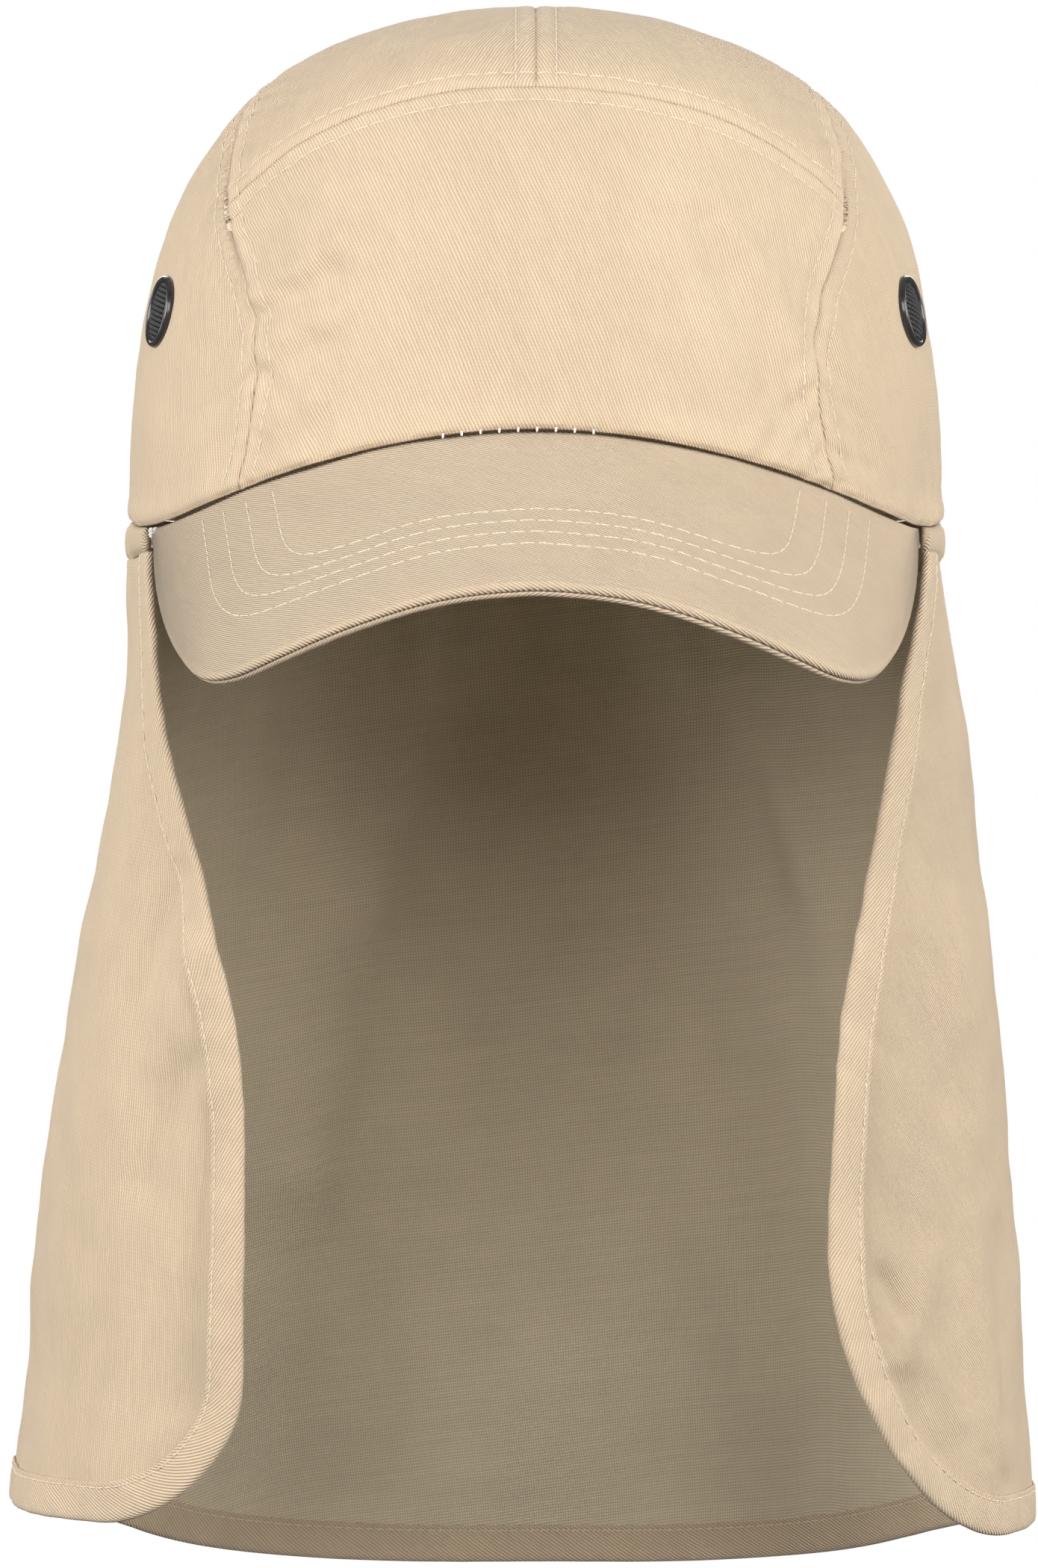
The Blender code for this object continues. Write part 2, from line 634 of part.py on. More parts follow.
def flap_border():
    """Angles and heights along the flap's edge: down the left front, along the hem, up the right."""
    shares = flap_shares()
    down = np.linspace(0, 1, FLAP_ROWS + 1) ** FLAP_ROW_SPREAD
    left = flap_at(np.full_like(down, shares[0]), down)
    hem = flap_at(shares[1:-1], np.ones(len(shares) - 2))
    right = flap_at(np.full_like(down, shares[-1]), down[::-1])
    return np.concatenate([left[0], hem[0], right[0]]), np.concatenate([left[1], hem[1], right[1]])


def flap_binding(material):
    """A folded strip over the flap's edge, its section a U of two leaves."""
    turns, heights = flap_border()
    edge = flap_point(turns, heights)
    normals = flap_normal(turns, heights)
    tangents = np.gradient(edge, axis=0)
    tangents /= np.linalg.norm(tangents, axis=1)[:, None]
    inward = np.cross(tangents, normals)
    inward /= np.linalg.norm(inward, axis=1)[:, None]
    inner = edge + inward * (BINDING_WIDTH - BINDING_CLOTH - BINDING_CLEARANCE)
    inner[[0, -1], 2] = flap_top(np.array(band_end()))
    inner_turns = nearest_on_flap(inner)
    inner = flap_point(inner_turns, inner[:, 2])
    inner_normals = flap_normal(inner_turns, inner[:, 2])
    clear = FLAP_CLOTH / 2 + BINDING_CLEARANCE
    thick = clear + BINDING_CLOTH
    lip = inward * BINDING_CLEARANCE
    outer_edge = inward * (BINDING_CLEARANCE + BINDING_CLOTH)
    rails = (
        inner + inner_normals * clear,
        edge - lip + normals * clear,
        edge - lip - normals * clear,
        inner - inner_normals * clear,
        inner - inner_normals * thick,
        edge - outer_edge * 0.4 - normals * thick,
        edge - outer_edge - normals * clear * 0.6,
        edge - outer_edge + normals * clear * 0.6,
        edge - outer_edge * 0.4 + normals * thick,
        inner + inner_normals * thick,
    )
    outer_leaf, bend, inner_leaf = (9, 0, 1, 8), ((8, 1, 7), (7, 1, 2, 6), (6, 2, 5)), (5, 2, 3, 4)
    sections = [[rail[i] for rail in rails] for i in range(len(edge))]
    loft_object("flap_binding", sections, (outer_leaf, *bend, inner_leaf), material)


def vent_frame(side):
    """Where a vent sits on the crown, with its own Z along the crown's outward normal."""
    guess = np.array([side * HALF_WIDTH, -VENT_FORWARD, VENT_HEIGHT])
    for _ in range(12):
        guess[0] = guess[0] / float(crown_share(guess)) ** 1.5
    point = on_crown(guess[None, :])[0]
    small = 1e-5
    slope = [float(crown_share(point + step) - crown_share(point - step)) for step in np.eye(3) * small]
    turned = Vector(slope).to_track_quat("Z", "Y").to_matrix().to_4x4()
    return Matrix.Translation(Vector(point)) @ turned


def turned_object(name, profile, place, material):
    """A ring turned from a closed profile of (radius, height), listed down its outer side first."""
    mesh = bpy.data.meshes.new(name)
    obj = bpy.data.objects.new(name, mesh)
    bpy.context.scene.collection.objects.link(obj)
    count = len(profile)
    mesh.from_pydata([(r, 0, z) for r, z in profile], [(i, (i + 1) % count) for i in range(count)], [])
    spin = obj.modifiers.new("Turn", "SCREW")
    spin.steps = spin.render_steps = VENT_SIDES
    spin.use_merge_vertices = True
    spin.merge_threshold = 0.00001
    spin.use_smooth_shade = True
    obj.matrix_world = place
    finish(obj, material)
    return obj


def vent(side, name, panel, metal, mesh_material):
    """A clinched eyelet through the side panel, with a disc of mesh in its mouth."""
    frame = vent_frame(side)
    inner = VENT_HOLE_RADIUS
    barrel = VENT_BARREL_RADIUS
    curve = VENT_RADIUS**2 / CROWN_WIDTH  # how far the crown falls away under the flange
    outside = VENT_CLEARANCE
    inside = -CLOTH - VENT_CLEARANCE - curve
    profile = (
        (inner, outside + VENT_FLANGE * 0.8),
        (inner + 0.2 * (VENT_RADIUS - inner), outside + VENT_FLANGE),
        (VENT_RADIUS - 0.3 * (VENT_RADIUS - inner), outside + VENT_FLANGE),
        (VENT_RADIUS, outside + VENT_FLANGE * 0.45),
        (VENT_RADIUS, outside),
        (barrel, outside),
        (barrel, inside),
        (VENT_RADIUS, inside),
        (VENT_RADIUS, inside - VENT_FLANGE * 0.6),
        (inner, inside - VENT_FLANGE * 0.6),
    )
    turned_object(f"vent_ring_{name}", profile, frame, metal)

    bpy.ops.mesh.primitive_cylinder_add(vertices=VENT_SIDES, radius=barrel + SEAM_GAP, depth=VENT_RADIUS * 2)
    cutter = bpy.context.object
    cutter.name = f"vent_cutter_{name}"
    cutter.matrix_world = frame
    cutter.hide_render = True
    cutter.display_type = "WIRE"
    for owner in list(cutter.users_collection):
        owner.objects.unlink(cutter)
    bpy.data.collections["Cutters"].objects.link(cutter)
    hole = panel.modifiers.new("Vent hole", "BOOLEAN")
    hole.operation = "DIFFERENCE"
    hole.object = cutter

    bpy.ops.mesh.primitive_cylinder_add(vertices=VENT_SIDES, radius=inner - SEAM_GAP, depth=VENT_MESH)
    disc = bpy.context.object
    disc.name = disc.data.name = f"vent_mesh_{name}"
    disc.matrix_world = frame @ Matrix.Translation((0, 0, outside + VENT_FLANGE * 0.5))
    finish(disc, mesh_material)


def main():
    for obj in list(bpy.data.objects):
        bpy.data.objects.remove(obj)
    for name in ("Legionnaire cap", "Cutters"):
        bpy.context.scene.collection.children.link(bpy.data.collections.new(name))
    khaki = principled("Khaki twill", (0.70, 0.56, 0.38), 0.9)
    black = principled("Black metal", (0.02, 0.02, 0.02), 0.3, 1.0)
    net = principled("Black mesh", (0.03, 0.03, 0.03), 0.6)

    front_panel(khaki)
    for side, name in ((-1, "left"), (1, "right")):
        top_panel(f"top_panel_{name}", side, khaki)
        panel = side_panel(f"side_panel_{name}", side, khaki)
        vent(side, name, panel, black, net)
    half_gap = SEAM_GAP / 2
    peak_leaf("peak_upper", PEAK_LEAF / 2, khaki)
    peak_leaf("peak_under", PEAK_LEAF * 1.5 + 2 * half_gap, khaki)
    elastic_band(khaki)
    neck_flap(khaki)
    flap_binding(khaki)


main()
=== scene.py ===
"""Legionnaire cap: the cloth, seams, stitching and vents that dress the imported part."""

import json
import math

import bmesh
import bpy
import numpy as np
from bpy.props import FloatProperty, FloatVectorProperty, PointerProperty
from mathutils import Matrix, Vector

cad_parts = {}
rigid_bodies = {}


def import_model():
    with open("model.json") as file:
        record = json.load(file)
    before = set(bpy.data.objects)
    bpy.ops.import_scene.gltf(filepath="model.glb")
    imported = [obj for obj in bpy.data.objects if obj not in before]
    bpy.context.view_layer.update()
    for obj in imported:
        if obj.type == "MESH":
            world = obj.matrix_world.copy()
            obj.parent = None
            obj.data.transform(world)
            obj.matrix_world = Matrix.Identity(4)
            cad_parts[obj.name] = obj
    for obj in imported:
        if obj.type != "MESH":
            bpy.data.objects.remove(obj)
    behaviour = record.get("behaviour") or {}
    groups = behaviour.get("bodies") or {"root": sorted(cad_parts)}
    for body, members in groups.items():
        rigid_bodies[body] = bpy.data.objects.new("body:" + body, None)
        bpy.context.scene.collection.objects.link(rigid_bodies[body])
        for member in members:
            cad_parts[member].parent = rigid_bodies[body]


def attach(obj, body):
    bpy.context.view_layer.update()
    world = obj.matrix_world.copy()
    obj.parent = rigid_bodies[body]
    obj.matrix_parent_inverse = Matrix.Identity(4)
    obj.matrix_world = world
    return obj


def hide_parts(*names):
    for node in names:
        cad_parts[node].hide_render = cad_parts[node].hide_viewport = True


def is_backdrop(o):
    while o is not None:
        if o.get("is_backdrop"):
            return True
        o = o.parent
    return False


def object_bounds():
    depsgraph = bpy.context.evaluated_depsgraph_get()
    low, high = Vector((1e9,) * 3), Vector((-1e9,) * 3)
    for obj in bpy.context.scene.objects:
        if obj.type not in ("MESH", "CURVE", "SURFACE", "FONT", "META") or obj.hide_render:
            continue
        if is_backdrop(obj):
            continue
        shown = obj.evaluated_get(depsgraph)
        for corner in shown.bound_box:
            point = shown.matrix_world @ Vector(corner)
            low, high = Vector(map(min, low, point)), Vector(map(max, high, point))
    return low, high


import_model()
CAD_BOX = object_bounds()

bl_info = {
    "name": "Legionnaire cap",
    "version": (1, 0, 0),
    "blender": (4, 5, 0),
    "location": "3D View > Sidebar > Cap",
    "description": "Sewn crown, curved peak, gathered band and bound neck flap of a legionnaire cap",
    "category": "Object",
}

# Crown
CROWN_WIDTH = 0.177
CROWN_LENGTH = 0.200
CROWN_HEIGHT = 0.1162
CROWN_SHOULDER = 2.75
RIM_SHOULDER = 2.2
CLOTH = 0.0012
RIM_CLEARANCE = 0.0005
FRONT_SEAM_INSET = 0.0255
TOP_SEAM_INSET = 0.0225
REAR_SEAM_INSET = 0.0425
FRONT_WAIST = 0.0055
TOP_SEAM_ANGLE = math.radians(51.3)
REAR_CORNER_ANGLE = math.radians(137)

# Peak
FRONT_RISE = 0.019
PEAK_INSET = 0.00575
PEAK_LENGTH = 0.066
PEAK_BEND = math.radians(59)
PEAK_SLOPE = math.radians(30)
PEAK_LEAF = 0.0015
PEAK_LIP = 0.0014  # radius of the turned edge
LIP_SEAM = 0.0024  # from the edge to the groove inside it
LIP_SINK = 0.00016
PEAK_ROW_SINK = 0.00010

# Gathered band
BAND_HEIGHT = 0.0105
BAND_END_HEIGHT = 0.0045
BAND_THICKNESS = 0.0020
BAND_LIFT = 0.0036
BAND_RISE_ANGLE = math.radians(30)
BAND_END_CLEARANCE = math.radians(2.6)
GATHERS = 21
GATHER_DEPTH = 0.0008
GATHER_REACH = 0.024

# Neck flap
FLAP_CLOTH = 0.0008
FLAP_DROP = 0.2275
FAN_RADIUS = 0.88
HEM_RISE_LEFT = 0.0232
HEM_RISE_RIGHT = 0.0180
CORNER_LEFT = 0.031
CORNER_RIGHT = 0.058
HEM_LEVEL = 0.9
FOLD_FULL_LEVEL = 0.35
FOLD_EDGE_ANGLE = math.radians(24)
BINDING_ROW = 0.0066  # from the flap's edge to the binding's stitches
PLEAT_HEIGHT = 0.0007  # of the pleats that hang from the gathers
PLEAT_REACH = 0.018

# Vents
VENT_FORWARD = 0.0385
VENT_HEIGHT = 0.0480
VENT_MOUTH = 0.0064
VENT_STEPS = 96
NET_DOME = 0.0007
NET_LIFT = 0.0004
NET_TURN = 0.6  # the net lies at an angle in its ring
WIRE_SIDES = 6
DISC_SIDES = 48
DISC_RINGS = 8

# Sewing. Sinks and raises are how far the cloth is pulled in or stands out.
SEAM_SINK = 0.00034
SEAM_HALF = 0.00050
ROW_OFFSET = 0.0043
ROW_SINK = 0.00012
ROW_HALF = 0.0006
ALLOWANCE = 0.0088
ALLOWANCE_RAISE = 0.00014
ALLOWANCE_FADE = 0.0022
CROSSING_FADE = 0.0022
PLEAT_SIZE = 0.0085
PLEAT_SLANT = 0.6
RIM_ROLL = 0.0006
RIM_TUCK = 0.0006
RIM_TUCK_HALF = 0.0006
RIM_FOLD = 0.00022
RIM_DRAW = 53
CREASE_GAIN = 1.35

# Unevenness of each cloth: how high, how wide its bumps are, and its random draw.
CROWN_UNEVEN = ((0.00022, 0.030, 3), (0.00006, 0.011, 4))
FLAP_UNEVEN = ((0.00045, 0.050, 5), (0.00010, 0.014, 6))
PEAK_UNEVEN = ((0.00010, 0.030, 12), (0.00002, 0.009, 14))

# Each seam's own random draw, how high its cloth puckers, and how far the puckers reach.
SEAM_PUCKERS = {
    "left": (11, 0.00030, 0.014),
    "right": (23, 0.00030, 0.014),
    "top": (37, 0.00012, 0.008),
    "centre": (41, 0.00012, 0.008),
}

# Grids of the cloth, across and up: length, step, how near an edge the steps are finer, and the finer step.
FRONT_GRID = ((0.135, 0.0010, 0.006, 0.00042), (0.095, 0.0010, 0.006, 0.00042))
TOP_GRID = ((0.062, 0.0011, 0.006, 0.00045), (0.240, 0.0013, 0.006, 0.00045))
SIDE_GRID = ((0.150, 0.0011, 0.006, 0.00045), (0.100, 0.0011, 0.006, 0.00045))
PEAK_GRID = ((0.200, 0.0012, 0.006, 0.0005), (0.070, 0.0012, 0.005, 0.00025))
FLAP_CORNER_STEPS = 34
FLAP_BODY_STEPS = 236
FLAP_ROWS = 136
FLAP_ROW_SPREAD = 1.15
BAND_STEPS = 640
BAND_ROUND = 17
BAND_ROWS = (0.55, 2.59)  # of stitching, by the angle round the band's section

# Soft creases seen from the front, in millimetres: across and up at one end and at the other, how wide
# the crease is, and how far it stands out.
CROWN_CREASES = (
    (-59, 50, -40, 61, 2.6, 0.75),
    (-58, 45, -42, 54, 3.0, -0.80),
    (-58, 38, -38, 47, 3.0, 0.60),
    (-57, 32, -42, 39, 2.8, -0.55),
    (-60, 60, -50, 68, 2.6, -0.45),
    (-56, 22, -46, 27, 3.0, 0.40),
    (42, 64, 58, 32, 3.4, 0.75),
    (36, 62, 51, 26, 4.2, -0.80),
    (24, 65, 43, 66, 2.6, -0.45),
    (22, 69, 45, 71, 3.0, 0.35),
    (53, 62, 60, 50, 2.6, -0.45),
    (62, 44, 75, 20, 2.8, 0.60),
    (59, 40, 71, 14, 2.4, -0.55),
    (-66, 62, -63, 40, 2.6, -0.50),
    (-70, 38, -64, 14, 3.4, -0.40),
    (70, 60, 66, 76, 3.4, -0.40),
)
BACK_CREASES = (
    (-22, -10, -40, -80, 8, -2.6),
    (-40, -80, -55, -143, 9, -2.4),
    (-55, -143, -42, -200, 9, -1.6),
    (-45, -12, -66, -95, 9, 2.2),
    (-30, -150, -22, -205, 9, 1.4),
    (48, -30, 66, -85, 6, -2.2),
    (42, -14, 55, -80, 6, 1.8),
    (30, -110, 52, -190, 9, -1.5),
)
FLAP_CREASES = (
    (-76, -73, -84, -98, 3.4, -1.1),
    (-71, -88, -80, -112, 3.6, 0.7),
    (-74, -114, -83, -138, 4.0, -1.2),
    (-69, -124, -74, -184, 3.6, -0.8),
    (-84, -150, -90, -200, 6.0, 0.7),
    (74, -158, 78, -166, 2.4, -1.3),
    (84, -154, 78, -176, 3.0, 1.0),
    (77, -180, 85, -196, 2.6, -0.9),
    (84, -176, 91, -190, 2.6, 0.7),
    (94, -146, 99, -200, 3.4, 0.8),
    (102, -150, 103, -192, 2.4, -0.7),
    (97, -198, 103, -206, 1.6, -0.7),
    (80, -90, 88, -122, 4.5, -0.5),
)

# The shaping tables are the part's own: shares of its named sizes, and degrees.
PEAK_EDGE = (
    {"across": 0.000, "reach": 1.000},
    {"across": 0.200, "reach": 1.022},
    {"across": 0.390, "reach": 1.085},
    {"across": 0.560, "reach": 1.150},
    {"across": 0.680, "reach": 1.175},
    {"across": 0.775, "reach": 1.105},
    {"across": 0.850, "reach": 0.920},
    {"across": 0.915, "reach": 0.680},
    {"across": 0.965, "reach": 0.400},
    {"across": 0.992, "reach": 0.120},
)
FLAP_SECTIONS = (
    {"level": 0.00, "left": 1.000, "right": 1.000, "depth": 1.000, "back": 0.000},
    {"level": 0.10, "left": 1.012, "right": 1.036, "depth": 0.965, "back": 0.030},
    {"level": 0.20, "left": 1.060, "right": 1.080, "depth": 0.945, "back": 0.058},
    {"level": 0.30, "left": 1.114, "right": 1.105, "depth": 0.936, "back": 0.080},
    {"level": 0.40, "left": 1.165, "right": 1.128, "depth": 0.934, "back": 0.098},
    {"level": 0.60, "left": 1.242, "right": 1.166, "depth": 0.936, "back": 0.128},
    {"level": 0.80, "left": 1.297, "right": 1.214, "depth": 0.938, "back": 0.150},
    {"level": 1.00, "left": 1.358, "right": 1.222, "depth": 0.945, "back": 0.158},
)
FLAP_EDGES = (
    {"level": 0.00, "left": 0.0, "right": 0.0},
    {"level": 0.10, "left": 7.2, "right": 11.5},
    {"level": 0.20, "left": 16.4, "right": 19.8},
    {"level": 0.30, "left": 26.0, "right": 25.8},
    {"level": 0.40, "left": 33.2, "right": 30.8},
    {"level": 0.60, "left": 38.2, "right": 35.0},
    {"level": 0.80, "left": 39.4, "right": 35.9},
    {"level": 1.00, "left": 39.8, "right": 36.2},
)
FLAP_FOLDS = (
    {"angle": -128, "lean": 14, "spread": 15, "depth": 0.022},
    {"angle": -98, "lean": 10, "spread": 13, "depth": -0.014},
    {"angle": -56, "lean": 26, "spread": 15, "depth": -0.030},
    {"angle": -30, "lean": 22, "spread": 13, "depth": 0.040},
    {"angle": -2, "lean": 4, "spread": 13, "depth": -0.026},
    {"angle": 30, "lean": -14, "spread": 12, "depth": 0.032},
    {"angle": 58, "lean": -22, "spread": 13, "depth": -0.028},
    {"angle": 96, "lean": -8, "spread": 15, "depth": 0.020},
    {"angle": 126, "lean": -12, "spread": 12, "depth": -0.018},
)
CROWN_DENTS = (
    {"x": -0.72, "y": -0.72, "z": 0.50, "size": 0.20, "depth": 0.016},
    {"x": 0.72, "y": -0.72, "z": 0.42, "size": 0.22, "depth": 0.020},
    {"x": -0.92, "y": -0.42, "z": 0.16, "size": 0.20, "depth": -0.012},
    {"x": 0.34, "y": -0.86, "z": 0.56, "size": 0.22, "depth": 0.010},
    {"x": 0.84, "y": -0.10, "z": 0.72, "size": 0.40, "depth": -0.014},
    {"x": -0.62, "y": 0.62, "z": 0.55, "size": 0.34, "depth": 0.024},
    {"x": 0.60, "y": 0.66, "z": 0.50, "size": 0.32, "depth": 0.022},
    {"x": 0.54, "y": 0.05, "z": 0.93, "size": 0.48, "depth": 0.031},
    {"x": -0.48, "y": 0.00, "z": 0.95, "size": 0.44, "depth": 0.026},
)

# Rows of stitching on the peak: where each meets the crown, as a share of the bend, and how far its
# front lies inside the peak's edge.
PEAK_ROWS = (
    {"side": 0.796, "inside": 0.0177},
    {"side": 0.730, "inside": 0.0228},
    {"side": 0.664, "inside": 0.0278},
    {"side": 0.592, "inside": 0.0328},
)

HALF_WIDTH = CROWN_WIDTH / 2
HALF_LENGTH = CROWN_LENGTH / 2
INSIDE_WALL = CLOTH / 2
BAND_HALF_WIDTH = HALF_WIDTH - INSIDE_WALL
BAND_HALF_LENGTH = HALF_LENGTH - INSIDE_WALL
PEAK_HALF_WIDTH = HALF_WIDTH - PEAK_INSET
PEAK_RADIUS = PEAK_HALF_WIDTH / math.sin(PEAK_BEND)


# Plain shapes of the part


def ease(value):
    """0 to 1 with level ends."""
    t = np.clip(value, 0.0, 1.0)
    return t * t * (3 - 2 * t)


def signed_power(value, power):
    return np.sign(value) * np.abs(value) ** power


def column(table, name):
    return np.array([row[name] for row in table], float)


def smooth_between(keys, values, at):
    """A smooth curve through the table's values."""
    slopes = np.gradient(values, keys)
    i = np.clip(np.searchsorted(keys, at, side="right") - 1, 0, len(keys) - 2)
    step = keys[i + 1] - keys[i]
    t = np.clip((at - keys[i]) / step, 0.0, 1.0)
    start = (1 + 2 * t) * (1 - t) ** 2 * values[i] + t * (1 - t) ** 2 * step * slopes[i]
    return start + t * t * (3 - 2 * t) * values[i + 1] + t * t * (t - 1) * step * slopes[i + 1]


def unit(vectors):
    return vectors / np.maximum(np.linalg.norm(vectors, axis=-1, keepdims=True), 1e-12)


def crown_share(point):
    """1 on the crown's surface, less inside it."""
    x, y, z = np.moveaxis(point, -1, 0)
    level = np.abs(x / HALF_WIDTH) ** RIM_SHOULDER + np.abs(y / HALF_LENGTH) ** RIM_SHOULDER
    upright = level ** (CROWN_SHOULDER / RIM_SHOULDER) + np.abs(z / CROWN_HEIGHT) ** CROWN_SHOULDER
    return upright ** (1 / CROWN_SHOULDER)


def crown_normal(point):
    small = 1e-5
    steps = np.eye(3) * small
    slope = np.stack([crown_share(point + step) - crown_share(point - step) for step in steps], -1)
    return unit(slope)


def crown_relief(point):
    """How far the cloth stands out from the plain crown at its dents."""
    relief = np.zeros(point.shape[:-1])
    for dent in CROWN_DENTS:
        centre = np.array([dent["x"] * HALF_WIDTH, dent["y"] * HALF_LENGTH, dent["z"] * CROWN_HEIGHT])
        centre = centre / crown_share(centre)
        away = np.linalg.norm(point - centre, axis=-1) / (dent["size"] * HALF_WIDTH)
        relief -= dent["depth"] * HALF_WIDTH * np.exp(-away * away)
    return relief


def on_crown(point, outward=0.0):
    """The point pushed out from the origin onto the crown, then outward."""
    surface = point / crown_share(point)[..., None]
    reach = np.linalg.norm(surface, axis=-1)
    return surface * (1 + (outward + crown_relief(surface)) / reach)[..., None]


def strip_point(x, turn_up):
    """A point of the middle strip: x across it, and the angle up from the front, about the X axis."""
    low, high = np.zeros_like(x), np.full_like(x, 2 * max(HALF_LENGTH, CROWN_HEIGHT))
    across = (-np.cos(turn_up), np.sin(turn_up))
    for _ in range(40):
        middle = (low + high) / 2
        inside = crown_share(np.stack([x, across[0] * middle, across[1] * middle], -1)) < 1
        low, high = np.where(inside, middle, low), np.where(inside, high, middle)
    return on_crown(np.stack([x, across[0] * low, across[1] * low], -1))


def section_point(turn, half_width, half_length):
    """A point of a level section. Turn is the section's own angle, 0 at the centre of the back."""
    power = 2 / RIM_SHOULDER
    return half_width * signed_power(np.sin(turn), power), half_length * signed_power(np.cos(turn), power)


def section_turn(x, y, half_width, half_length):
    power = RIM_SHOULDER / 2
    return np.arctan2(signed_power(x / half_width, power), signed_power(y / half_length, power))


def band_point(turn):
    return section_point(turn, BAND_HALF_WIDTH, BAND_HALF_LENGTH)


def peak_end():
    """The rim angle at the ends of the peak."""
    return math.pi - math.asin((PEAK_HALF_WIDTH / HALF_WIDTH) ** (RIM_SHOULDER / 2))


def band_end():
    return peak_end() - BAND_END_CLEARANCE


def band_share(turn):
    """0 at the ends of the band, 1 where it has its full height."""
    return ease((band_end() - np.abs(turn)) / BAND_RISE_ANGLE)


def gather_wave(turn):
    uneven = 0.75 + 0.25 * np.cos(5.0 * turn + 0.8)
    return band_share(turn) * uneven * np.cos(turn / band_end() * GATHERS * math.pi)


def peak_height(x, y):
    """Top of the peak's bent sheet over a point of the floor plan."""
    drop = PEAK_RADIUS - np.sqrt(PEAK_RADIUS**2 - x * x)
    along = (-HALF_LENGTH + drop * math.sin(PEAK_SLOPE) - y) / math.cos(PEAK_SLOPE)
    return FRONT_RISE - drop * math.cos(PEAK_SLOPE) - along * math.sin(PEAK_SLOPE)


def rim_on_peak(turn):
    x, y = band_point(turn)
    inner_face = 1 - INSIDE_WALL / np.hypot(x, y)
    x = np.clip(x, -PEAK_HALF_WIDTH, PEAK_HALF_WIDTH)
    return peak_height(x * inner_face, y * inner_face)


def rim_height(turn):
    """Height of the crown's lower edge: along the peak in front, and on the band behind its ends."""
    behind = rim_on_peak(peak_end()) + BAND_LIFT * band_share(turn)
    return np.where(np.abs(turn) > peak_end(), rim_on_peak(turn), behind) + RIM_CLEARANCE


def rim_point(turn):
    x, y = band_point(turn)
    return on_crown(np.stack([x, y, rim_height(turn)], -1))


def seam_half_width(turn_up):
    up = np.clip(turn_up / TOP_SEAM_ANGLE, 0.0, 1.0)
    back = ease((turn_up - TOP_SEAM_ANGLE) / (REAR_CORNER_ANGLE - TOP_SEAM_ANGLE))
    inset = FRONT_SEAM_INSET + (TOP_SEAM_INSET - FRONT_SEAM_INSET) * up
    inset += (REAR_SEAM_INSET - TOP_SEAM_INSET) * back + FRONT_WAIST * np.sin(up * math.pi) ** 2
    return HALF_WIDTH - inset


def rim_turn_up(x, front):
    sign = -1.0 if front else 1.0
    share = np.abs(x / BAND_HALF_WIDTH) ** RIM_SHOULDER
    y = sign * BAND_HALF_LENGTH * (1 - share) ** (1 / RIM_SHOULDER)
    turn_up = np.arctan2(rim_height(section_turn(x, y, BAND_HALF_WIDTH, BAND_HALF_LENGTH)), -y)
    return turn_up if front else turn_up % (2 * math.pi)


def front_foot():
    """The strip's angle where a side seam meets the front rim."""
    foot = 0.0
    for _ in range(4):
        foot = float(rim_turn_up(np.array(seam_half_width(foot)), front=True))
    return foot


def rear_foot():
    return float(rim_turn_up(np.array(HALF_WIDTH - REAR_SEAM_INSET), front=False))


def peak_sheet(across, reach, below):
    """A point of the peak: the share of its half width along the bend, the distance out from the
    inner face of the crown's wall, and the distance below its top."""
    bend = across * PEAK_BEND
    x = PEAK_RADIUS * np.sin(bend)
    drop = PEAK_RADIUS * (1 - np.cos(bend))
    share = np.clip(1 - np.abs(x / (HALF_WIDTH - CLOTH)) ** RIM_SHOULDER, 0.0, 1.0)
    root_y = -(HALF_LENGTH - CLOTH) * share ** (1 / RIM_SHOULDER)
    along = (-HALF_LENGTH + drop * math.sin(PEAK_SLOPE) - root_y) / math.cos(PEAK_SLOPE) + reach
    forward = np.array([0, -math.cos(PEAK_SLOPE), -math.sin(PEAK_SLOPE)])
    up = np.array([0, -math.sin(PEAK_SLOPE), math.cos(PEAK_SLOPE)])
    outward = np.stack([np.sin(bend), np.cos(bend) * up[1], np.cos(bend) * up[2]], -1)
    start = np.stack([x, -HALF_LENGTH - drop * up[1], FRONT_RISE - drop * up[2]], -1)
    return start + np.asarray(along)[..., None] * forward - np.asarray(below)[..., None] * outward


def peak_outline(row):
    """Share of the bend and reach of the peak's edge. Row runs from -1 at one end to 1."""
    steps = np.arange(len(PEAK_EDGE), dtype=float)
    at = np.abs(row) * steps[-1]
    reach = smooth_between(steps, column(PEAK_EDGE, "reach"), at) * PEAK_LENGTH
    return np.sign(row) * smooth_between(steps, column(PEAK_EDGE, "across"), at), reach


def flap_top(turn):
    """Height of the flap's upper edge, just under the band."""
    top = rim_height(turn) - 2 * RIM_CLEARANCE
    return top - BAND_END_HEIGHT - (BAND_HEIGHT - BAND_END_HEIGHT) * band_share(turn)


def flap_level(z):
    return np.clip((float(flap_top(np.array(0.0))) - z) / FLAP_DROP, 0.0, 1.0)


def flap_edge(level, side):
    """The section's angle at one front edge: side is -1 or 1."""
    levels = column(FLAP_EDGES, "level")
    left = smooth_between(levels, column(FLAP_EDGES, "left"), level)
    right = smooth_between(levels, column(FLAP_EDGES, "right"), level)
    return band_end() + np.radians(np.where(side < 0, left, right))


def flap_section(level):
    levels = column(FLAP_SECTIONS, "level")
    names = ("left", "right", "depth", "back")
    left, right, depth, back = (smooth_between(levels, column(FLAP_SECTIONS, name), level) for name in names)
    return left * BAND_HALF_WIDTH, right * BAND_HALF_WIDTH, depth * BAND_HALF_LENGTH, back * BAND_HALF_LENGTH


def fold_height(turn, level):
    total = np.zeros_like(turn)
    for fold in FLAP_FOLDS:
        centre = np.radians(fold["angle"] + fold["lean"] * (1 - level))
        away = (turn - centre) / math.radians(fold["spread"])
        total += fold["depth"] * np.exp(-away * away)
    near_edge = ease((flap_edge(level, np.sign(turn)) - np.abs(turn)) / FOLD_EDGE_ANGLE)
    return total * BAND_HALF_WIDTH * ease(level / FOLD_FULL_LEVEL) * near_edge


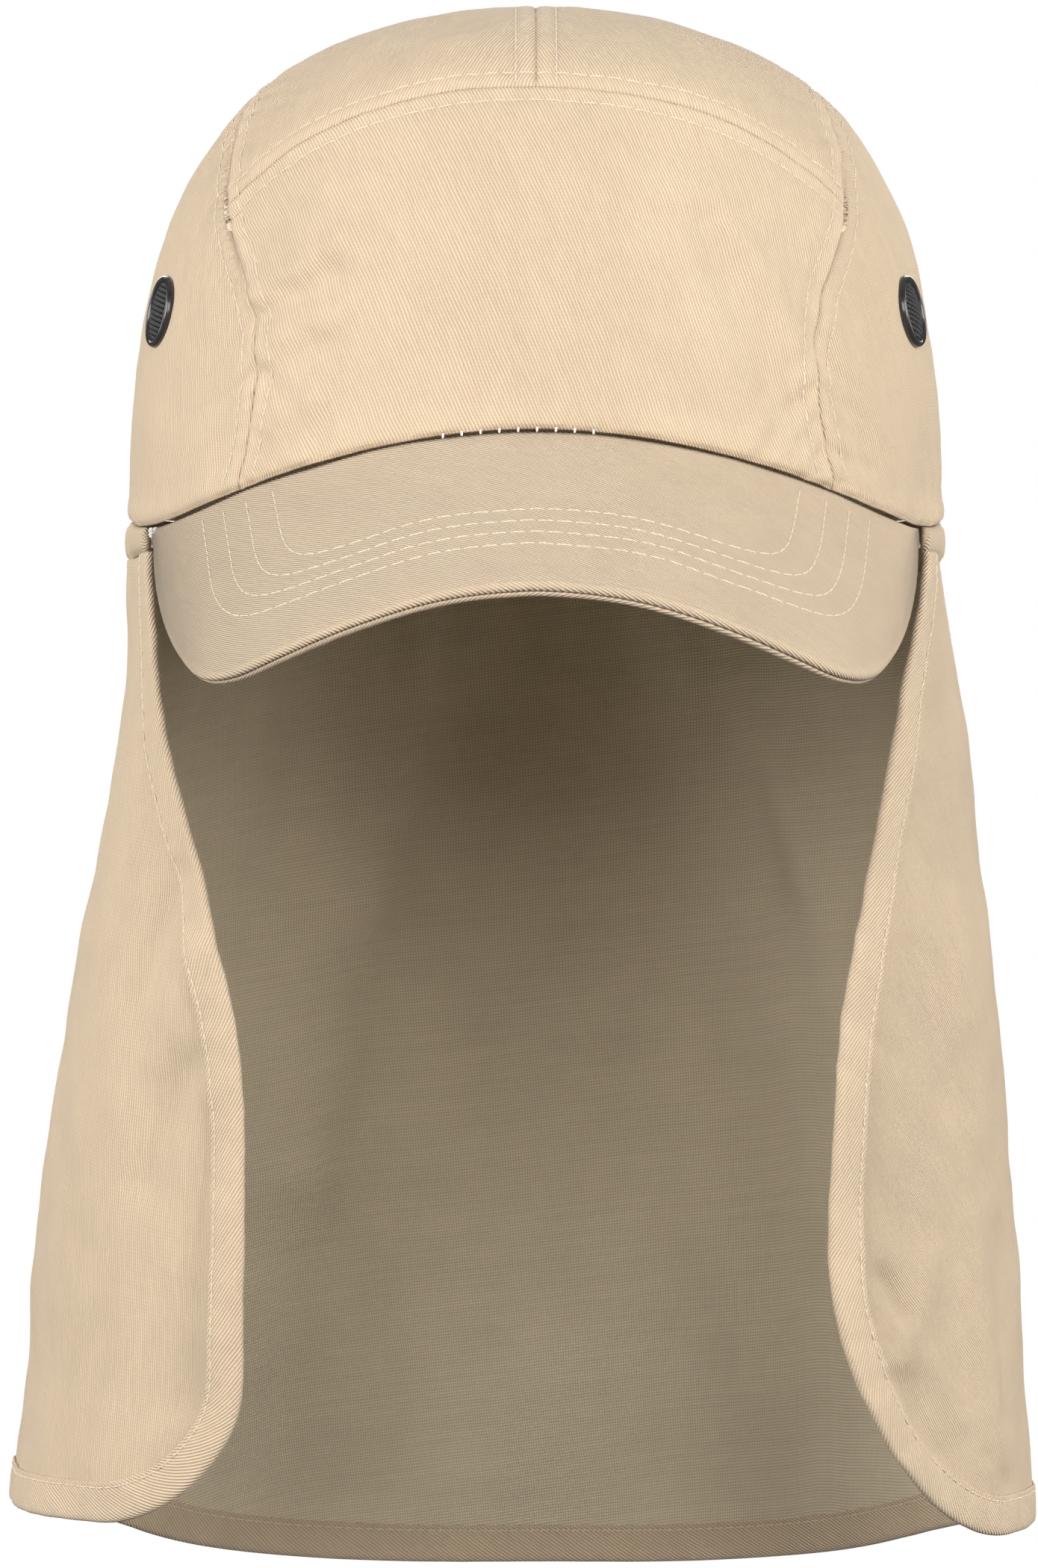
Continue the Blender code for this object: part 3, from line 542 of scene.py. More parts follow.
def flap_point(turn, z, outward=0.0):
    """A point of the flap's middle surface, at a section's own angle and a height."""
    level = flap_level(z)
    left, right, depth, back = flap_section(level)
    across, along = section_point(turn, np.where(turn < 0, left, right), depth)
    below = np.maximum(flap_top(turn) - z, 0.0) / GATHER_REACH
    ruffle = GATHER_DEPTH * gather_wave(turn) * np.exp(-2.0 * below * below)
    grow = 1 + (fold_height(turn, level) + ruffle + outward) / np.hypot(across, along)
    return np.stack([across * grow, back + along * grow, z], -1)


def flap_normal(turn, z):
    small = 1e-4
    around = flap_point(turn + small, z) - flap_point(turn - small, z)
    upward = flap_point(turn, z + small) - flap_point(turn, z - small)
    return unit(np.cross(upward, around))


def corner_share(side):
    """The share of the way to the centre of the back that a rounded front corner takes."""
    radius = np.where(side < 0, CORNER_LEFT, CORNER_RIGHT)
    reach = flap_edge(np.full_like(radius, HEM_LEVEL), side) * (BAND_HALF_WIDTH + BAND_HALF_LENGTH) / 2
    return radius / reach


def flap_hem(share):
    """Height of the hem for a share from the centre of the back to a front edge, -1 to 1."""
    side = np.sign(share)
    turn = share * flap_edge(np.full_like(share, HEM_LEVEL), side)
    rise = np.where(side < 0, HEM_RISE_LEFT, HEM_RISE_RIGHT)
    bottom = flap_top(np.zeros_like(share)) - FLAP_DROP
    around = rise * np.abs(np.sin(np.clip(turn, -math.pi / 2, math.pi / 2))) ** 3
    radius = np.where(side < 0, CORNER_LEFT, CORNER_RIGHT)
    inward = np.clip((1 - np.abs(share)) / corner_share(side), 0.0, 1.0)
    return bottom + around + radius * (1 - np.sqrt(1 - (1 - inward) ** 2))


def flap_at(share, down):
    """The flap by its column's share and the share of the way down that column."""
    top = flap_top(share * band_end())
    z = top + (flap_hem(share) - top) * down
    return share * flap_edge(flap_level(z), np.sign(share)), z


def flap_shares(corner_steps, body_steps):
    """The flap's columns, close together round its two lower corners."""
    corner = 1 - np.cos(np.linspace(0, math.pi / 2, corner_steps + 1))
    left = float(corner_share(np.array(-1.0)))
    right = float(corner_share(np.array(1.0)))
    body = np.linspace(-1 + left, 1 - right, body_steps + 1)[1:-1]
    return np.concatenate([-1 + left * corner, body, (1 - right * corner)[::-1]])


def nearest_on_flap(point):
    """The section's angle of a point near the flap, found level with it."""
    x, y, z = np.moveaxis(point, -1, 0)
    left, right, depth, back = flap_section(flap_level(z))
    return section_turn(x, y - back, np.where(x < 0, left, right), depth)


# Lines, and the fine relief of sewn cloth


def walked(line):
    """How far along a line of points each point is."""
    return np.concatenate([[0.0], np.cumsum(np.linalg.norm(np.diff(line, axis=0), axis=1))])


def evenly(line, step):
    """The same line with its points at even distances of about one step."""
    far = walked(line)
    at = np.linspace(0, far[-1], max(2, int(round(far[-1] / step)) + 1))
    return np.stack([np.interp(at, far, line[:, k]) for k in range(3)], -1)


def near_line(points, line):
    """Distance from each point to a line of points, and how far along it the nearest place is."""
    far = walked(line)
    squares = (line**2).sum(1)
    distance, along = np.empty(len(points)), np.empty(len(points))
    for first in range(0, len(points), 8000):
        part = points[first : first + 8000]
        nearest = ((part**2).sum(1)[:, None] + squares - 2 * part @ line.T).argmin(1)
        best = np.full(len(part), np.inf)
        place = np.zeros(len(part))
        for before in (1, 0):
            i = np.clip(nearest - before, 0, len(line) - 2)
            run = line[i + 1] - line[i]
            t = np.clip(((part - line[i]) * run).sum(1) / (run**2).sum(1), 0.0, 1.0)
            gap = np.linalg.norm(part - line[i] - t[:, None] * run, axis=1)
            closer = gap < best
            best[closer] = gap[closer]
            place[closer] = (far[i] + t * (far[i + 1] - far[i]))[closer]
        distance[first : first + 8000] = best
        along[first : first + 8000] = place
    return distance, along


def soft_noise(points, size, seed, waves=28):
    """Smooth uneven relief of about one unit, with bumps of the given size."""
    rng = np.random.default_rng(seed)
    directions = unit(rng.normal(size=(waves, 3)))
    scales = 2 * math.pi / (size * rng.uniform(0.7, 1.5, waves))
    phases = rng.uniform(0, 2 * math.pi, waves)
    total = np.zeros(len(points))
    for direction, scale, phase in zip(directions, scales, phases):
        total += np.cos(points @ direction * scale + phase)
    return total * math.sqrt(2 / waves)


def uneven(points, table, draw=0):
    return sum(high * soft_noise(points, size, seed + draw) for high, size, seed in table)


def pinches(along, size, seed):
    """Uneven pleats along a seam: broad crests with narrow hollows between them."""
    rng = np.random.default_rng(seed)
    total = np.zeros_like(along)
    for _ in range(5):
        length = size * rng.uniform(0.65, 1.6)
        total += np.cos(2 * math.pi * along / length + rng.uniform(0, 2 * math.pi))
    total /= 2.2
    return total - 0.3 * total * total


def sewn(distance, along, draw, pucker, reach):
    """Relief beside a seam that has a row of topstitching on this side."""
    groove = -SEAM_SINK * np.exp(-((distance / SEAM_HALF) ** 2))
    doubled = ALLOWANCE_RAISE * (1 - ease((distance - ALLOWANCE) / ALLOWANCE_FADE))
    row = -ROW_SINK * np.exp(-(((distance - ROW_OFFSET) / ROW_HALF) ** 2))
    between = 0.00005 * np.exp(-(((distance - ROW_OFFSET / 2) / 0.0011) ** 2))
    small = 0.35 * pucker * np.exp(-distance / 0.005) * pinches(along, PLEAT_SIZE * 0.38, draw + 50)
    slanted = along + PLEAT_SLANT * distance
    waves = pucker * np.exp(-distance / reach) * pinches(slanted, PLEAT_SIZE, draw)
    return groove + doubled + row + between + (waves + small) * ease(distance / 0.0012)


def creases(points, table, side=-1):
    """Relief of soft straight creases on the front half, or on the back half with a side of 1."""
    total = np.zeros(len(points))
    seen = points[:, [0, 2]] * 1000
    for x, z, to_x, to_z, wide, high in table:
        start = np.array([x, z], float)
        run = np.array([to_x, to_z]) - start
        share = np.clip(((seen - start) @ run) / (run @ run), 0.0, 1.0)
        away = np.linalg.norm(seen - start - share[:, None] * run, axis=1) / wide
        total += high / 1000 * CREASE_GAIN * np.exp(-away * away)
    return total * ease(side * points[:, 1] / 0.02)


def seam_lines():
    """The crown's seams on its outer face, and its lower edge."""
    angles = np.linspace(front_foot(), rear_foot(), 900)
    lines = {}
    for side, name in ((-1, "left"), (1, "right")):
        lines[name] = evenly(strip_point(side * seam_half_width(angles), angles), 0.0006)
    half = seam_half_width(TOP_SEAM_ANGLE)
    across = np.linspace(-half, half, 400)
    lines["top"] = evenly(strip_point(across, np.full_like(across, TOP_SEAM_ANGLE)), 0.0006)
    back = np.linspace(TOP_SEAM_ANGLE, float(rim_turn_up(np.array(0.0), front=False)), 600)
    lines["centre"] = evenly(strip_point(np.zeros_like(back), back), 0.0006)
    lines["rim"] = evenly(rim_point(np.linspace(-math.pi, math.pi, 1400)), 0.0008)
    return lines


SEAMS = seam_lines()


def crown_cloth(points):
    """The plain outer face moved to where sewn cloth lies, and how worn it is."""
    turn_up = np.arctan2(points[:, 2], -points[:, 1])
    turn_up += np.where(turn_up < -math.pi / 2, 2 * math.pi, 0.0)
    # The top seam fades where it meets the side seams, and the centre seam where it meets the top one.
    in_strip = ease((seam_half_width(turn_up) - np.abs(points[:, 0])) / CROSSING_FADE)
    behind_top = ease((turn_up - TOP_SEAM_ANGLE) / 0.02)
    starts = {"left": 1.0, "right": 1.0, "top": in_strip, "centre": behind_top * in_strip}
    relief = uneven(points, CROWN_UNEVEN) + creases(points, CROWN_CREASES)
    wear = np.zeros(len(points))
    for name, (draw, pucker, reach) in SEAM_PUCKERS.items():
        distance, along = near_line(points, SEAMS[name])
        relief += starts[name] * sewn(distance, along, draw, pucker, reach)
        wear = np.maximum(wear, starts[name] * np.exp(-(((distance - 0.0018) / 0.0016) ** 2)))
    distance, along = near_line(points, SEAMS["rim"])
    roll = RIM_ROLL * np.exp(-(((distance - 0.0026) / 0.0024) ** 2))
    tuck = -RIM_TUCK * np.exp(-((distance / RIM_TUCK_HALF) ** 2))
    folds = RIM_FOLD * np.exp(-distance / 0.012) * pinches(along + 0.5 * distance, 0.011, RIM_DRAW)
    wear = np.maximum(wear, 0.8 * np.exp(-(((distance - 0.0015) / 0.0016) ** 2)))
    relief += roll + tuck + folds * ease(distance / 0.001)
    return points + crown_normal(points) * relief[:, None], wear


def flap_border_line(step):
    """Angles and heights along the flap's edge: down the left front, along the hem, up the right."""
    down = np.linspace(0, 1, 240)
    shares = flap_shares(60, 400)
    left = flap_at(np.full_like(down, -1.0), down)
    hem = flap_at(shares[1:-1], np.ones(len(shares) - 2))
    right = flap_at(np.full_like(down, 1.0), down[::-1])
    turns, heights = (np.concatenate([left[k], hem[k], right[k]]) for k in (0, 1))
    far = walked(flap_point(turns, heights))
    at = np.linspace(0, far[-1], int(round(far[-1] / step)) + 1)
    return np.interp(at, far, turns), np.interp(at, far, heights)


BORDER = flap_point(*flap_border_line(0.0015))


def flap_cloth(turn, z):
    """The flap's middle surface with its small pleats, puckers and creases."""
    plain = flap_point(turn, z)
    below = np.maximum(flap_top(turn) - z, 0.0)
    wave = gather_wave(turn)
    relief = PLEAT_HEIGHT * wave * np.abs(wave) * np.exp(-below / PLEAT_REACH)
    relief += 0.00045 * band_share(turn) * np.exp(-below / 0.03) * pinches(turn * HALF_LENGTH, 0.013, 71)
    relief += uneven(plain, FLAP_UNEVEN)
    relief += creases(plain, FLAP_CREASES) + creases(plain, BACK_CREASES, side=1)
    distance, along = near_line(plain, BORDER)
    relief += 0.00009 * np.exp(-distance / 0.010) * pinches(along + 0.4 * distance, 0.010, 77)
    return flap_point(turn, z, relief)


# Meshes


def clustered(length, step, near, near_step, both=True):
    """Places from 0 to 1 along a length, closer together near its ends."""
    fine = np.arange(0, near, near_step) / length
    if both:
        middle = np.linspace(near / length, 1 - near / length, max(2, int((length - 2 * near) / step)))
        return np.concatenate([fine, middle, 1 - fine[::-1]])
    middle = np.linspace(0, 1 - near / length, max(2, int((length - near) / step)))
    return np.concatenate([middle, 1 - fine[::-1]])


def laid_flat(grid):
    """Lengths along the cloth, in metres, from the middle column and the first row."""
    sideways = np.linalg.norm(np.diff(grid, axis=1), axis=2)
    across = np.concatenate([np.zeros((len(grid), 1)), np.cumsum(sideways, axis=1)], axis=1)
    across -= across[:, across.shape[1] // 2][:, None]
    upward = np.linalg.norm(np.diff(grid, axis=0), axis=2)
    along = np.concatenate([np.zeros((1, grid.shape[1])), np.cumsum(upward, axis=0)], axis=0)
    return np.stack([across, along], -1).reshape(-1, 2)


def set_uv(mesh, flat):
    layer = mesh.uv_layers[0] if mesh.uv_layers else mesh.uv_layers.new(name="UVMap")
    corners = np.empty(len(mesh.loops), np.int32)
    mesh.loops.foreach_get("vertex_index", corners)
    layer.data.foreach_set("uv", flat[corners].astype(np.float32).ravel())


def set_attribute(mesh, name, values):
    attribute = mesh.attributes.new(name, "FLOAT", "POINT")
    attribute.data.foreach_set("value", np.asarray(values, np.float32))


def deselect():
    for obj in bpy.context.view_layer.objects:
        obj.select_set(False)


def new_object(name, mesh):
    obj = bpy.data.objects.new(name, mesh)
    bpy.context.scene.collection.objects.link(obj)
    return obj


def face_outward(mesh, merge=0.0):
    """Turns the faces outward, after the points within the merge distance are joined."""
    bm = bmesh.new()
    bm.from_mesh(mesh)
    if merge:
        bmesh.ops.remove_doubles(bm, verts=bm.verts, dist=merge)
    bmesh.ops.recalc_face_normals(bm, faces=bm.faces)
    bm.to_mesh(mesh)
    bm.free()


def apply_modifiers(obj):
    deselect()
    obj.select_set(True)
    bpy.context.view_layer.objects.active = obj
    for modifier in list(obj.modifiers):
        bpy.ops.object.modifier_apply(modifier=modifier.name)


def fanned(flat):
    """Flat lengths bent into the fan that the flap is cut as, so the grain turns from side to side."""
    across, along = flat[:, 0], flat[:, 1]
    turn = across / FAN_RADIUS
    return np.stack([(FAN_RADIUS + along) * np.sin(turn), (FAN_RADIUS + along) * np.cos(turn)], -1)


def cloth_grid(name, across, up, place, thickness, materials, inside, offset=-1.0, fan=False):
    """A primitive grid laid on a surface and given its cloth by Solidify. Materials are those of the
    outer face and of the inner one."""
    deselect()
    bpy.ops.mesh.primitive_grid_add(x_subdivisions=len(across) - 1, y_subdivisions=len(up) - 1, size=2)
    obj = bpy.context.object
    obj.name = obj.data.name = name
    mesh = obj.data
    u, v = np.meshgrid(across, up)
    points, wear = place(u.ravel(), v.ravel())
    mesh.vertices.foreach_set("co", points.astype(np.float32).ravel())
    flat = laid_flat(points.reshape(len(up), len(across), 3))
    set_uv(mesh, fanned(flat) if fan else flat)
    set_attribute(mesh, "wear", wear)
    mesh.update()
    normals, centres = np.empty(len(mesh.polygons) * 3), np.empty(len(mesh.polygons) * 3)
    mesh.polygons.foreach_get("normal", normals)
    mesh.polygons.foreach_get("center", centres)
    outward = centres.reshape(-1, 3) - np.array(inside)
    if (normals.reshape(-1, 3) * outward).sum() < 0:
        mesh.flip_normals()
    for material in materials:
        mesh.materials.append(material)
    wall = obj.modifiers.new("Cloth", "SOLIDIFY")
    wall.thickness = thickness
    wall.offset = offset
    wall.material_offset = len(materials) - 1
    apply_modifiers(obj)
    mesh.shade_smooth()
    return obj


def loft(name, sections, material, flat=None, closed_ends=True):
    """A closed body through closed sections of equal count, given as an array [section, point, 3]."""
    count, around = sections.shape[:2]
    mesh = bpy.data.meshes.new(name)
    first = np.arange(count - 1)[:, None] * around + np.arange(around)[None, :]
    turned = np.arange(count - 1)[:, None] * around + np.roll(np.arange(around), -1)[None, :]
    quads = np.stack([first, turned, turned + around, first + around], -1).reshape(-1, 4)
    faces = [tuple(int(i) for i in quad) for quad in quads]
    if closed_ends:
        faces.append(tuple(range(around))[::-1])
        faces.append(tuple(range((count - 1) * around, count * around)))
    mesh.from_pydata(sections.reshape(-1, 3).tolist(), [], faces)
    mesh.materials.append(material)
    if flat is not None:
        set_uv(mesh, flat.reshape(-1, 2))
    face_outward(mesh)
    mesh.shade_smooth()
    return new_object(name, mesh)


# One stitch, ring by ring: share of its length, share of the thread's radius, and height in radii.
THREAD_RINGS = (
    (0.00, 0.40, -1.0),
    (0.08, 0.85, 0.10),
    (0.28, 1.00, 0.55),
    (0.72, 1.00, 0.55),
    (0.92, 0.85, 0.10),
    (1.00, 0.40, -1.0),
)
THREAD_SIDES = 6


def stitches(name, runs, material, pitch, length, diameter):
    """Short lengths of thread along lines. Each run is the points of a line and the cloth's normals."""
    radius = diameter / 2
    points, flat = [], []
    for line, normals in runs:
        far = walked(line)
        count = int(far[-1] / pitch)
        starts = (far[-1] - count * pitch) / 2 + np.arange(count) * pitch + (pitch - length) / 2

        def at(distance, values):
            return np.stack([np.interp(distance, far, values[:, k]) for k in range(3)], -1)

        tangent = unit(at(starts + length, line) - at(starts, line))
        normal = unit(at(starts + length / 2, normals))
        side = unit(np.cross(tangent, normal))
        normal = np.cross(side, tangent)
        for share, wide, high in THREAD_RINGS:
            centre = at(starts + share * length, line) + normal * (high * radius)
            for k in range(THREAD_SIDES):
                angle = 2 * math.pi * k / THREAD_SIDES
                spoke = side * math.cos(angle) + normal * math.sin(angle)
                points.append(centre + spoke * (wide * radius))
                flat.append(np.stack([np.full(count, k / THREAD_SIDES), starts + share * length], -1))
    rings = len(THREAD_RINGS)
    each = rings * THREAD_SIDES
    vertices, uvs, faces = [], [], []
    for run in range(len(runs)):
        block = np.stack(points[run * each : (run + 1) * each], 1)
        uvs.append(np.stack(flat[run * each : (run + 1) * each], 1).reshape(-1, 2))
        vertices.append(block.reshape(-1, 3))
    template = []
    for ring in range(rings - 1):
        for k in range(THREAD_SIDES):
            j = (k + 1) % THREAD_SIDES
            a, b = ring * THREAD_SIDES, (ring + 1) * THREAD_SIDES
            template.append((a + k, a + j, b + j, b + k))
    template.append(tuple(range(THREAD_SIDES))[::-1])
    template.append(tuple(range(each - THREAD_SIDES, each)))
    vertices = np.concatenate(vertices)
    for base in range(0, len(vertices), each):
        faces.extend(tuple(base + i for i in face) for face in template)
    mesh = bpy.data.meshes.new(name)
    mesh.from_pydata(vertices.tolist(), [], faces)
    set_uv(mesh, np.concatenate(uvs))
    mesh.materials.append(material)
    mesh.shade_smooth()
    return new_object(name, mesh)


# Materials


class Nodes:
    """Short ways to add nodes to a tree and link them."""

    def __init__(self, tree):
        self.tree = tree

    def add(self, kind, **settings):
        node = self.tree.nodes.new(kind)
        for name, value in settings.items():
            setattr(node, name, value)
        return node

    def feed(self, target, value):
        if hasattr(value, "is_linked"):
            self.tree.links.new(value, target)
        else:
            target.default_value = value

    def math(self, operation, *values):
        node = self.add("ShaderNodeMath", operation=operation)
        for target, value in zip(node.inputs, values):
            self.feed(target, value)
        return node.outputs[0]

    def mix(self, share, first, second, blend="MIX"):
        node = self.add("ShaderNodeMix", data_type="RGBA", blend_type=blend)
        self.feed(node.inputs["Factor"], share)
        for target, value in zip((node.inputs[6], node.inputs[7]), (first, second)):
            self.feed(target, (*value, 1.0) if isinstance(value, tuple) and len(value) == 3 else value)
        return node.outputs[2]

    def noise(self, vector, scale, detail=2.0, roughness=0.5):
        node = self.add("ShaderNodeTexNoise")
        self.feed(node.inputs["Vector"], vector)
        self.feed(node.inputs["Scale"], scale)
        node.inputs["Detail"].default_value = detail
        node.inputs["Roughness"].default_value = roughness
        return node.outputs["Fac"]

    def combine(self, x, y, z=0.0):
        node = self.add("ShaderNodeCombineXYZ")
        for target, value in zip(node.inputs, (x, y, z)):
            self.feed(target, value)
        return node.outputs[0]

    def wave(self, phase):
        """0 to 1 and back for each whole number of the phase, with 1 at whole numbers."""
        turned = self.math("COSINE", self.math("MULTIPLY", phase, 2 * math.pi))
        return self.math("MULTIPLY_ADD", turned, 0.5, 0.5)

    def bump(self, shader, height, distance):
        node = self.add("ShaderNodeBump")
        node.inputs["Distance"].default_value = distance
        self.feed(node.inputs["Height"], height)
        self.feed(shader.inputs["Normal"], node.outputs[0])


def group_tree(name, inputs, outputs):
    group = bpy.data.node_groups.new(name, "ShaderNodeTree")
    for label, kind, default in inputs:
        made = group.interface.new_socket(name=label, in_out="INPUT", socket_type=kind)
        if default is not None:
            made.default_value = default
    for label, kind in outputs:
        group.interface.new_socket(name=label, in_out="OUTPUT", socket_type=kind)
    n = Nodes(group)
    return n, n.add("NodeGroupInput").outputs, n.add("NodeGroupOutput").inputs


WEAVE_INPUTS = (
    ("Vector", "NodeSocketVector", None),
    ("Turn", "NodeSocketFloat", 0.0),
    ("Pitch", "NodeSocketFloat", 0.00069),
    ("Yarn", "NodeSocketColor", (0.6, 0.5, 0.3, 1.0)),
    ("Hollow", "NodeSocketColor", (0.4, 0.3, 0.2, 1.0)),
    ("Wear", "NodeSocketFloat", 0.0),
)
WEAVE_OUTPUTS = (
    ("Colour", "NodeSocketColor"),
    ("Height", "NodeSocketFloat"),
    ("Roughness", "NodeSocketFloat"),
)


def weave_finish(n, given, made, rib, streak):
    """The colour, height and roughness that both weaves share."""
    blotch = n.noise(given["Vector"], 55.0, 3.0)
    # Painted shade: the colour runs from the darker hollow to the yarn across each rib.
    colour = n.mix(rib, given["Hollow"], given["Yarn"])
    tone = n.math("ADD", n.math("MULTIPLY", streak, 0.16), n.math("MULTIPLY", blotch, 0.14))
    tone = n.math("ADD", tone, 0.85)
    worn = n.math("MULTIPLY_ADD", given["Wear"], 0.07, tone)
    shade = n.combine(worn, worn, worn)
    n.feed(made["Colour"], n.mix(1.0, colour, shade, "MULTIPLY"))
    fuzz = n.noise(given["Vector"], 6000.0, 2.0)
    n.feed(made["Height"], n.math("MULTIPLY_ADD", fuzz, 0.10, rib))
    n.feed(made["Roughness"], n.math("MULTIPLY_ADD", blotch, 0.14, 0.80))


def turned_cloth(n, given):
    """The cloth's own coordinates, turned so that its ribs run along Y, with a slight waver."""
    turn = n.add("ShaderNodeVectorRotate", rotation_type="Z_AXIS")
    n.feed(turn.inputs["Vector"], given["Vector"])
    n.feed(turn.inputs["Angle"], given["Turn"])
    parts = n.add("ShaderNodeSeparateXYZ")
    n.feed(parts.inputs[0], turn.outputs[0])
    waver = n.math("SUBTRACT", n.noise(given["Vector"], 70.0, 1.0), 0.5)
    across = n.math("MULTIPLY_ADD", waver, 0.0009, parts.outputs[0])
    return across, parts.outputs[1]


def twill_group():
    """Diagonal ribs of warp floats, each rib broken where a float dives under."""
    n, given, made = group_tree("Twill weave", WEAVE_INPUTS, WEAVE_OUTPUTS)
    across, along = turned_cloth(n, given)
    phase = n.math("DIVIDE", across, given["Pitch"])
    rib = n.wave(phase)
    number = n.math("FLOOR", n.math("ADD", phase, 0.5))
    stagger = n.math("MULTIPLY", number, 0.37)
    float_phase = n.math("ADD", n.math("DIVIDE", along, n.math("MULTIPLY", given["Pitch"], 1.15)), stagger)
    broken = n.wave(float_phase)
    body = n.math("MULTIPLY", n.math("POWER", rib, 0.8), n.math("MULTIPLY_ADD", broken, 0.26, 0.74))
    streak = n.noise(n.combine(n.math("MULTIPLY", number, 3.1), n.math("MULTIPLY", along, 90.0)), 1.0, 2.0)
    weave_finish(n, given, made, body, streak)


def plain_group():
    """The reverse of the cloth: rows of small rounded crossings."""
    n, given, made = group_tree("Plain weave", WEAVE_INPUTS, WEAVE_OUTPUTS)
    across, along = turned_cloth(n, given)
    sides = []
    for at in (across, along):
        turned = n.math("MULTIPLY", n.math("DIVIDE", at, given["Pitch"]), math.pi)
        sides.append(n.math("SINE", turned))
    crossing = n.math("ABSOLUTE", n.math("MULTIPLY", *sides))
    body = n.math("POWER", crossing, 0.6)
    streak = n.noise(n.combine(n.math("MULTIPLY", across, 25.0), n.math("MULTIPLY", along, 900.0)), 1.0, 2.0)
    weave_finish(n, given, made, body, streak)


def new_material(name):
    """The node helper and the Principled shader of a new material."""
    made = bpy.data.materials.new(name)
    made.use_nodes = True
    return Nodes(made.node_tree), made.node_tree.nodes["Principled BSDF"]


def cloth_material(name, group, yarn, turn_degrees):
    """Cloth of one yarn colour, painted darker in the hollows between its yarns: painted shade."""
    settings = bpy.context.scene.cap_cloth
    hollow = [c * settings.hollow for c in yarn]
    n, shader = new_material(name)
    weave = n.add("ShaderNodeGroup", node_tree=bpy.data.node_groups[group])
    n.feed(weave.inputs["Vector"], n.add("ShaderNodeTexCoord").outputs["UV"])
    weave.inputs["Turn"].default_value = math.radians(turn_degrees)
    weave.inputs["Pitch"].default_value = settings.pitch
    weave.inputs["Yarn"].default_value = (*yarn, 1.0)
    weave.inputs["Hollow"].default_value = (*hollow, 1.0)
    n.feed(weave.inputs["Wear"], n.add("ShaderNodeAttribute", attribute_name="wear").outputs["Fac"])
    n.bump(shader, weave.outputs["Height"], settings.depth)
    n.feed(shader.inputs["Base Color"], weave.outputs["Colour"])
    n.feed(shader.inputs["Roughness"], weave.outputs["Roughness"])
    shader.inputs["Sheen Weight"].default_value = 0.12
    shader.inputs["Sheen Roughness"].default_value = 0.5
    shader.inputs["Specular IOR Level"].default_value = 0.25


def thread_material(name, colour):
    """Twisted thread: fine slanting plies along each stitch, painted darker between the plies as shade."""
    n, shader = new_material(name)
    parts = n.add("ShaderNodeSeparateXYZ")
    n.feed(parts.inputs[0], n.add("ShaderNodeTexCoord").outputs["UV"])
    round_thread = n.math("MULTIPLY", parts.outputs[0], 2.0)
    ply = n.wave(n.math("ADD", round_thread, n.math("MULTIPLY", parts.outputs[1], 1900.0)))
    # Painted shade: the one thread colour is darkened in the grooves between the plies.
    dark = tuple(c * 0.72 for c in colour)
    n.feed(shader.inputs["Base Color"], n.mix(ply, dark, colour))
    n.bump(shader, ply, 0.00006)
    shader.inputs["Roughness"].default_value = 0.7


def black_material(name, roughness, grain, coat):
    """Black lacquered metal with a faint uneven sheen."""
    n, shader = new_material(name)
    place = n.add("ShaderNodeTexCoord").outputs["Object"]
    dust = n.noise(place, 900.0, 4.0, 0.6)
    n.feed(shader.inputs["Base Color"], n.mix(dust, (0.006, 0.006, 0.006), (0.030, 0.029, 0.028)))
    n.feed(shader.inputs["Roughness"], n.math("MULTIPLY_ADD", dust, 0.2, roughness))
    n.bump(shader, n.noise(place, 2500.0, 3.0), grain)
    shader.inputs["Coat Weight"].default_value = coat
    shader.inputs["Coat Roughness"].default_value = 0.12


# How far each cloth's ribs are turned in its piece, in degrees.
TWILL_TURNS = {
    "Front twill": -22,
    "Top twill": -20,
    "Side twill left": 16,
    "Side twill right": -20,
    "Peak twill painted darker": 56,
    "Flap twill": -28,
    "Binding twill": -35,
    "Band twill": 30,
}


def make_materials():
    settings = bpy.context.scene.cap_cloth
    twill_group()
    plain_group()
    for name, turn in TWILL_TURNS.items():
        # Painted shade: the peak's twill is the same cloth as the crown's, only painted darker.
        painted_shade = settings.painted_peak_shade if name == "Peak twill painted darker" else 1.0
        cloth_material(name, "Twill weave", [c * painted_shade for c in settings.yarn], turn)
    # The reverse face has its own plain weave and hue, and is painted lighter than the face cloth: painted
    # light for the shaded insides of the flap and crown.
    cloth_material("Reverse", "Plain weave", settings.inside, 8)
    stitch = bpy.context.scene.cap_stitch
    thread_material("Thread", tuple(stitch.colour))
    thread_material("White thread", tuple(stitch.tack_colour))
    black_material("Black lacquer", 0.22, 0.00001, 0.6)
    black_material("Black wire", 0.42, 0.00002, 0.1)


def material(name):
    if name not in bpy.data.materials:
        make_materials()
    return bpy.data.materials[name]


# Pieces


def dress(obj, *nodes, slot=None):
    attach(obj, "root")
    if nodes:
        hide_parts(*nodes)
    return obj


def crown_panel(name, node, twill, grid, place):
    """One sewn panel of the crown, in the place of its solid."""
    across, up = (clustered(*row) for row in grid)
    cloths = (material(twill), material("Reverse"))
    obj = cloth_grid(name, across, up, place, CLOTH * 0.75, cloths, (0, 0, 0))
    dress(obj, node, slot="crown_twill")


def build_front():
    stop = TOP_SEAM_ANGLE

    def place(u, v):
        turn_up = stop * v
        for _ in range(4):
            x = (2 * u - 1) * seam_half_width(turn_up)
            start = rim_turn_up(x, front=True)
            turn_up = start + (stop - start) * v
        return crown_cloth(strip_point(x, turn_up))

    crown_panel("crown_front", "front_panel", "Front twill", FRONT_GRID, place)


def build_top(side, name):
    stop = rear_foot()

    def place(u, v):
        turn_up = TOP_SEAM_ANGLE + (stop - TOP_SEAM_ANGLE) * v
        for _ in range(4):
            x = seam_half_width(turn_up) * u
            end = rim_turn_up(x, front=False)
            turn_up = TOP_SEAM_ANGLE + (end - TOP_SEAM_ANGLE) * v
        return crown_cloth(strip_point(side * x, turn_up))

    crown_panel(f"crown_top_{name}", f"top_panel_{name}", "Top twill", TOP_GRID, place)


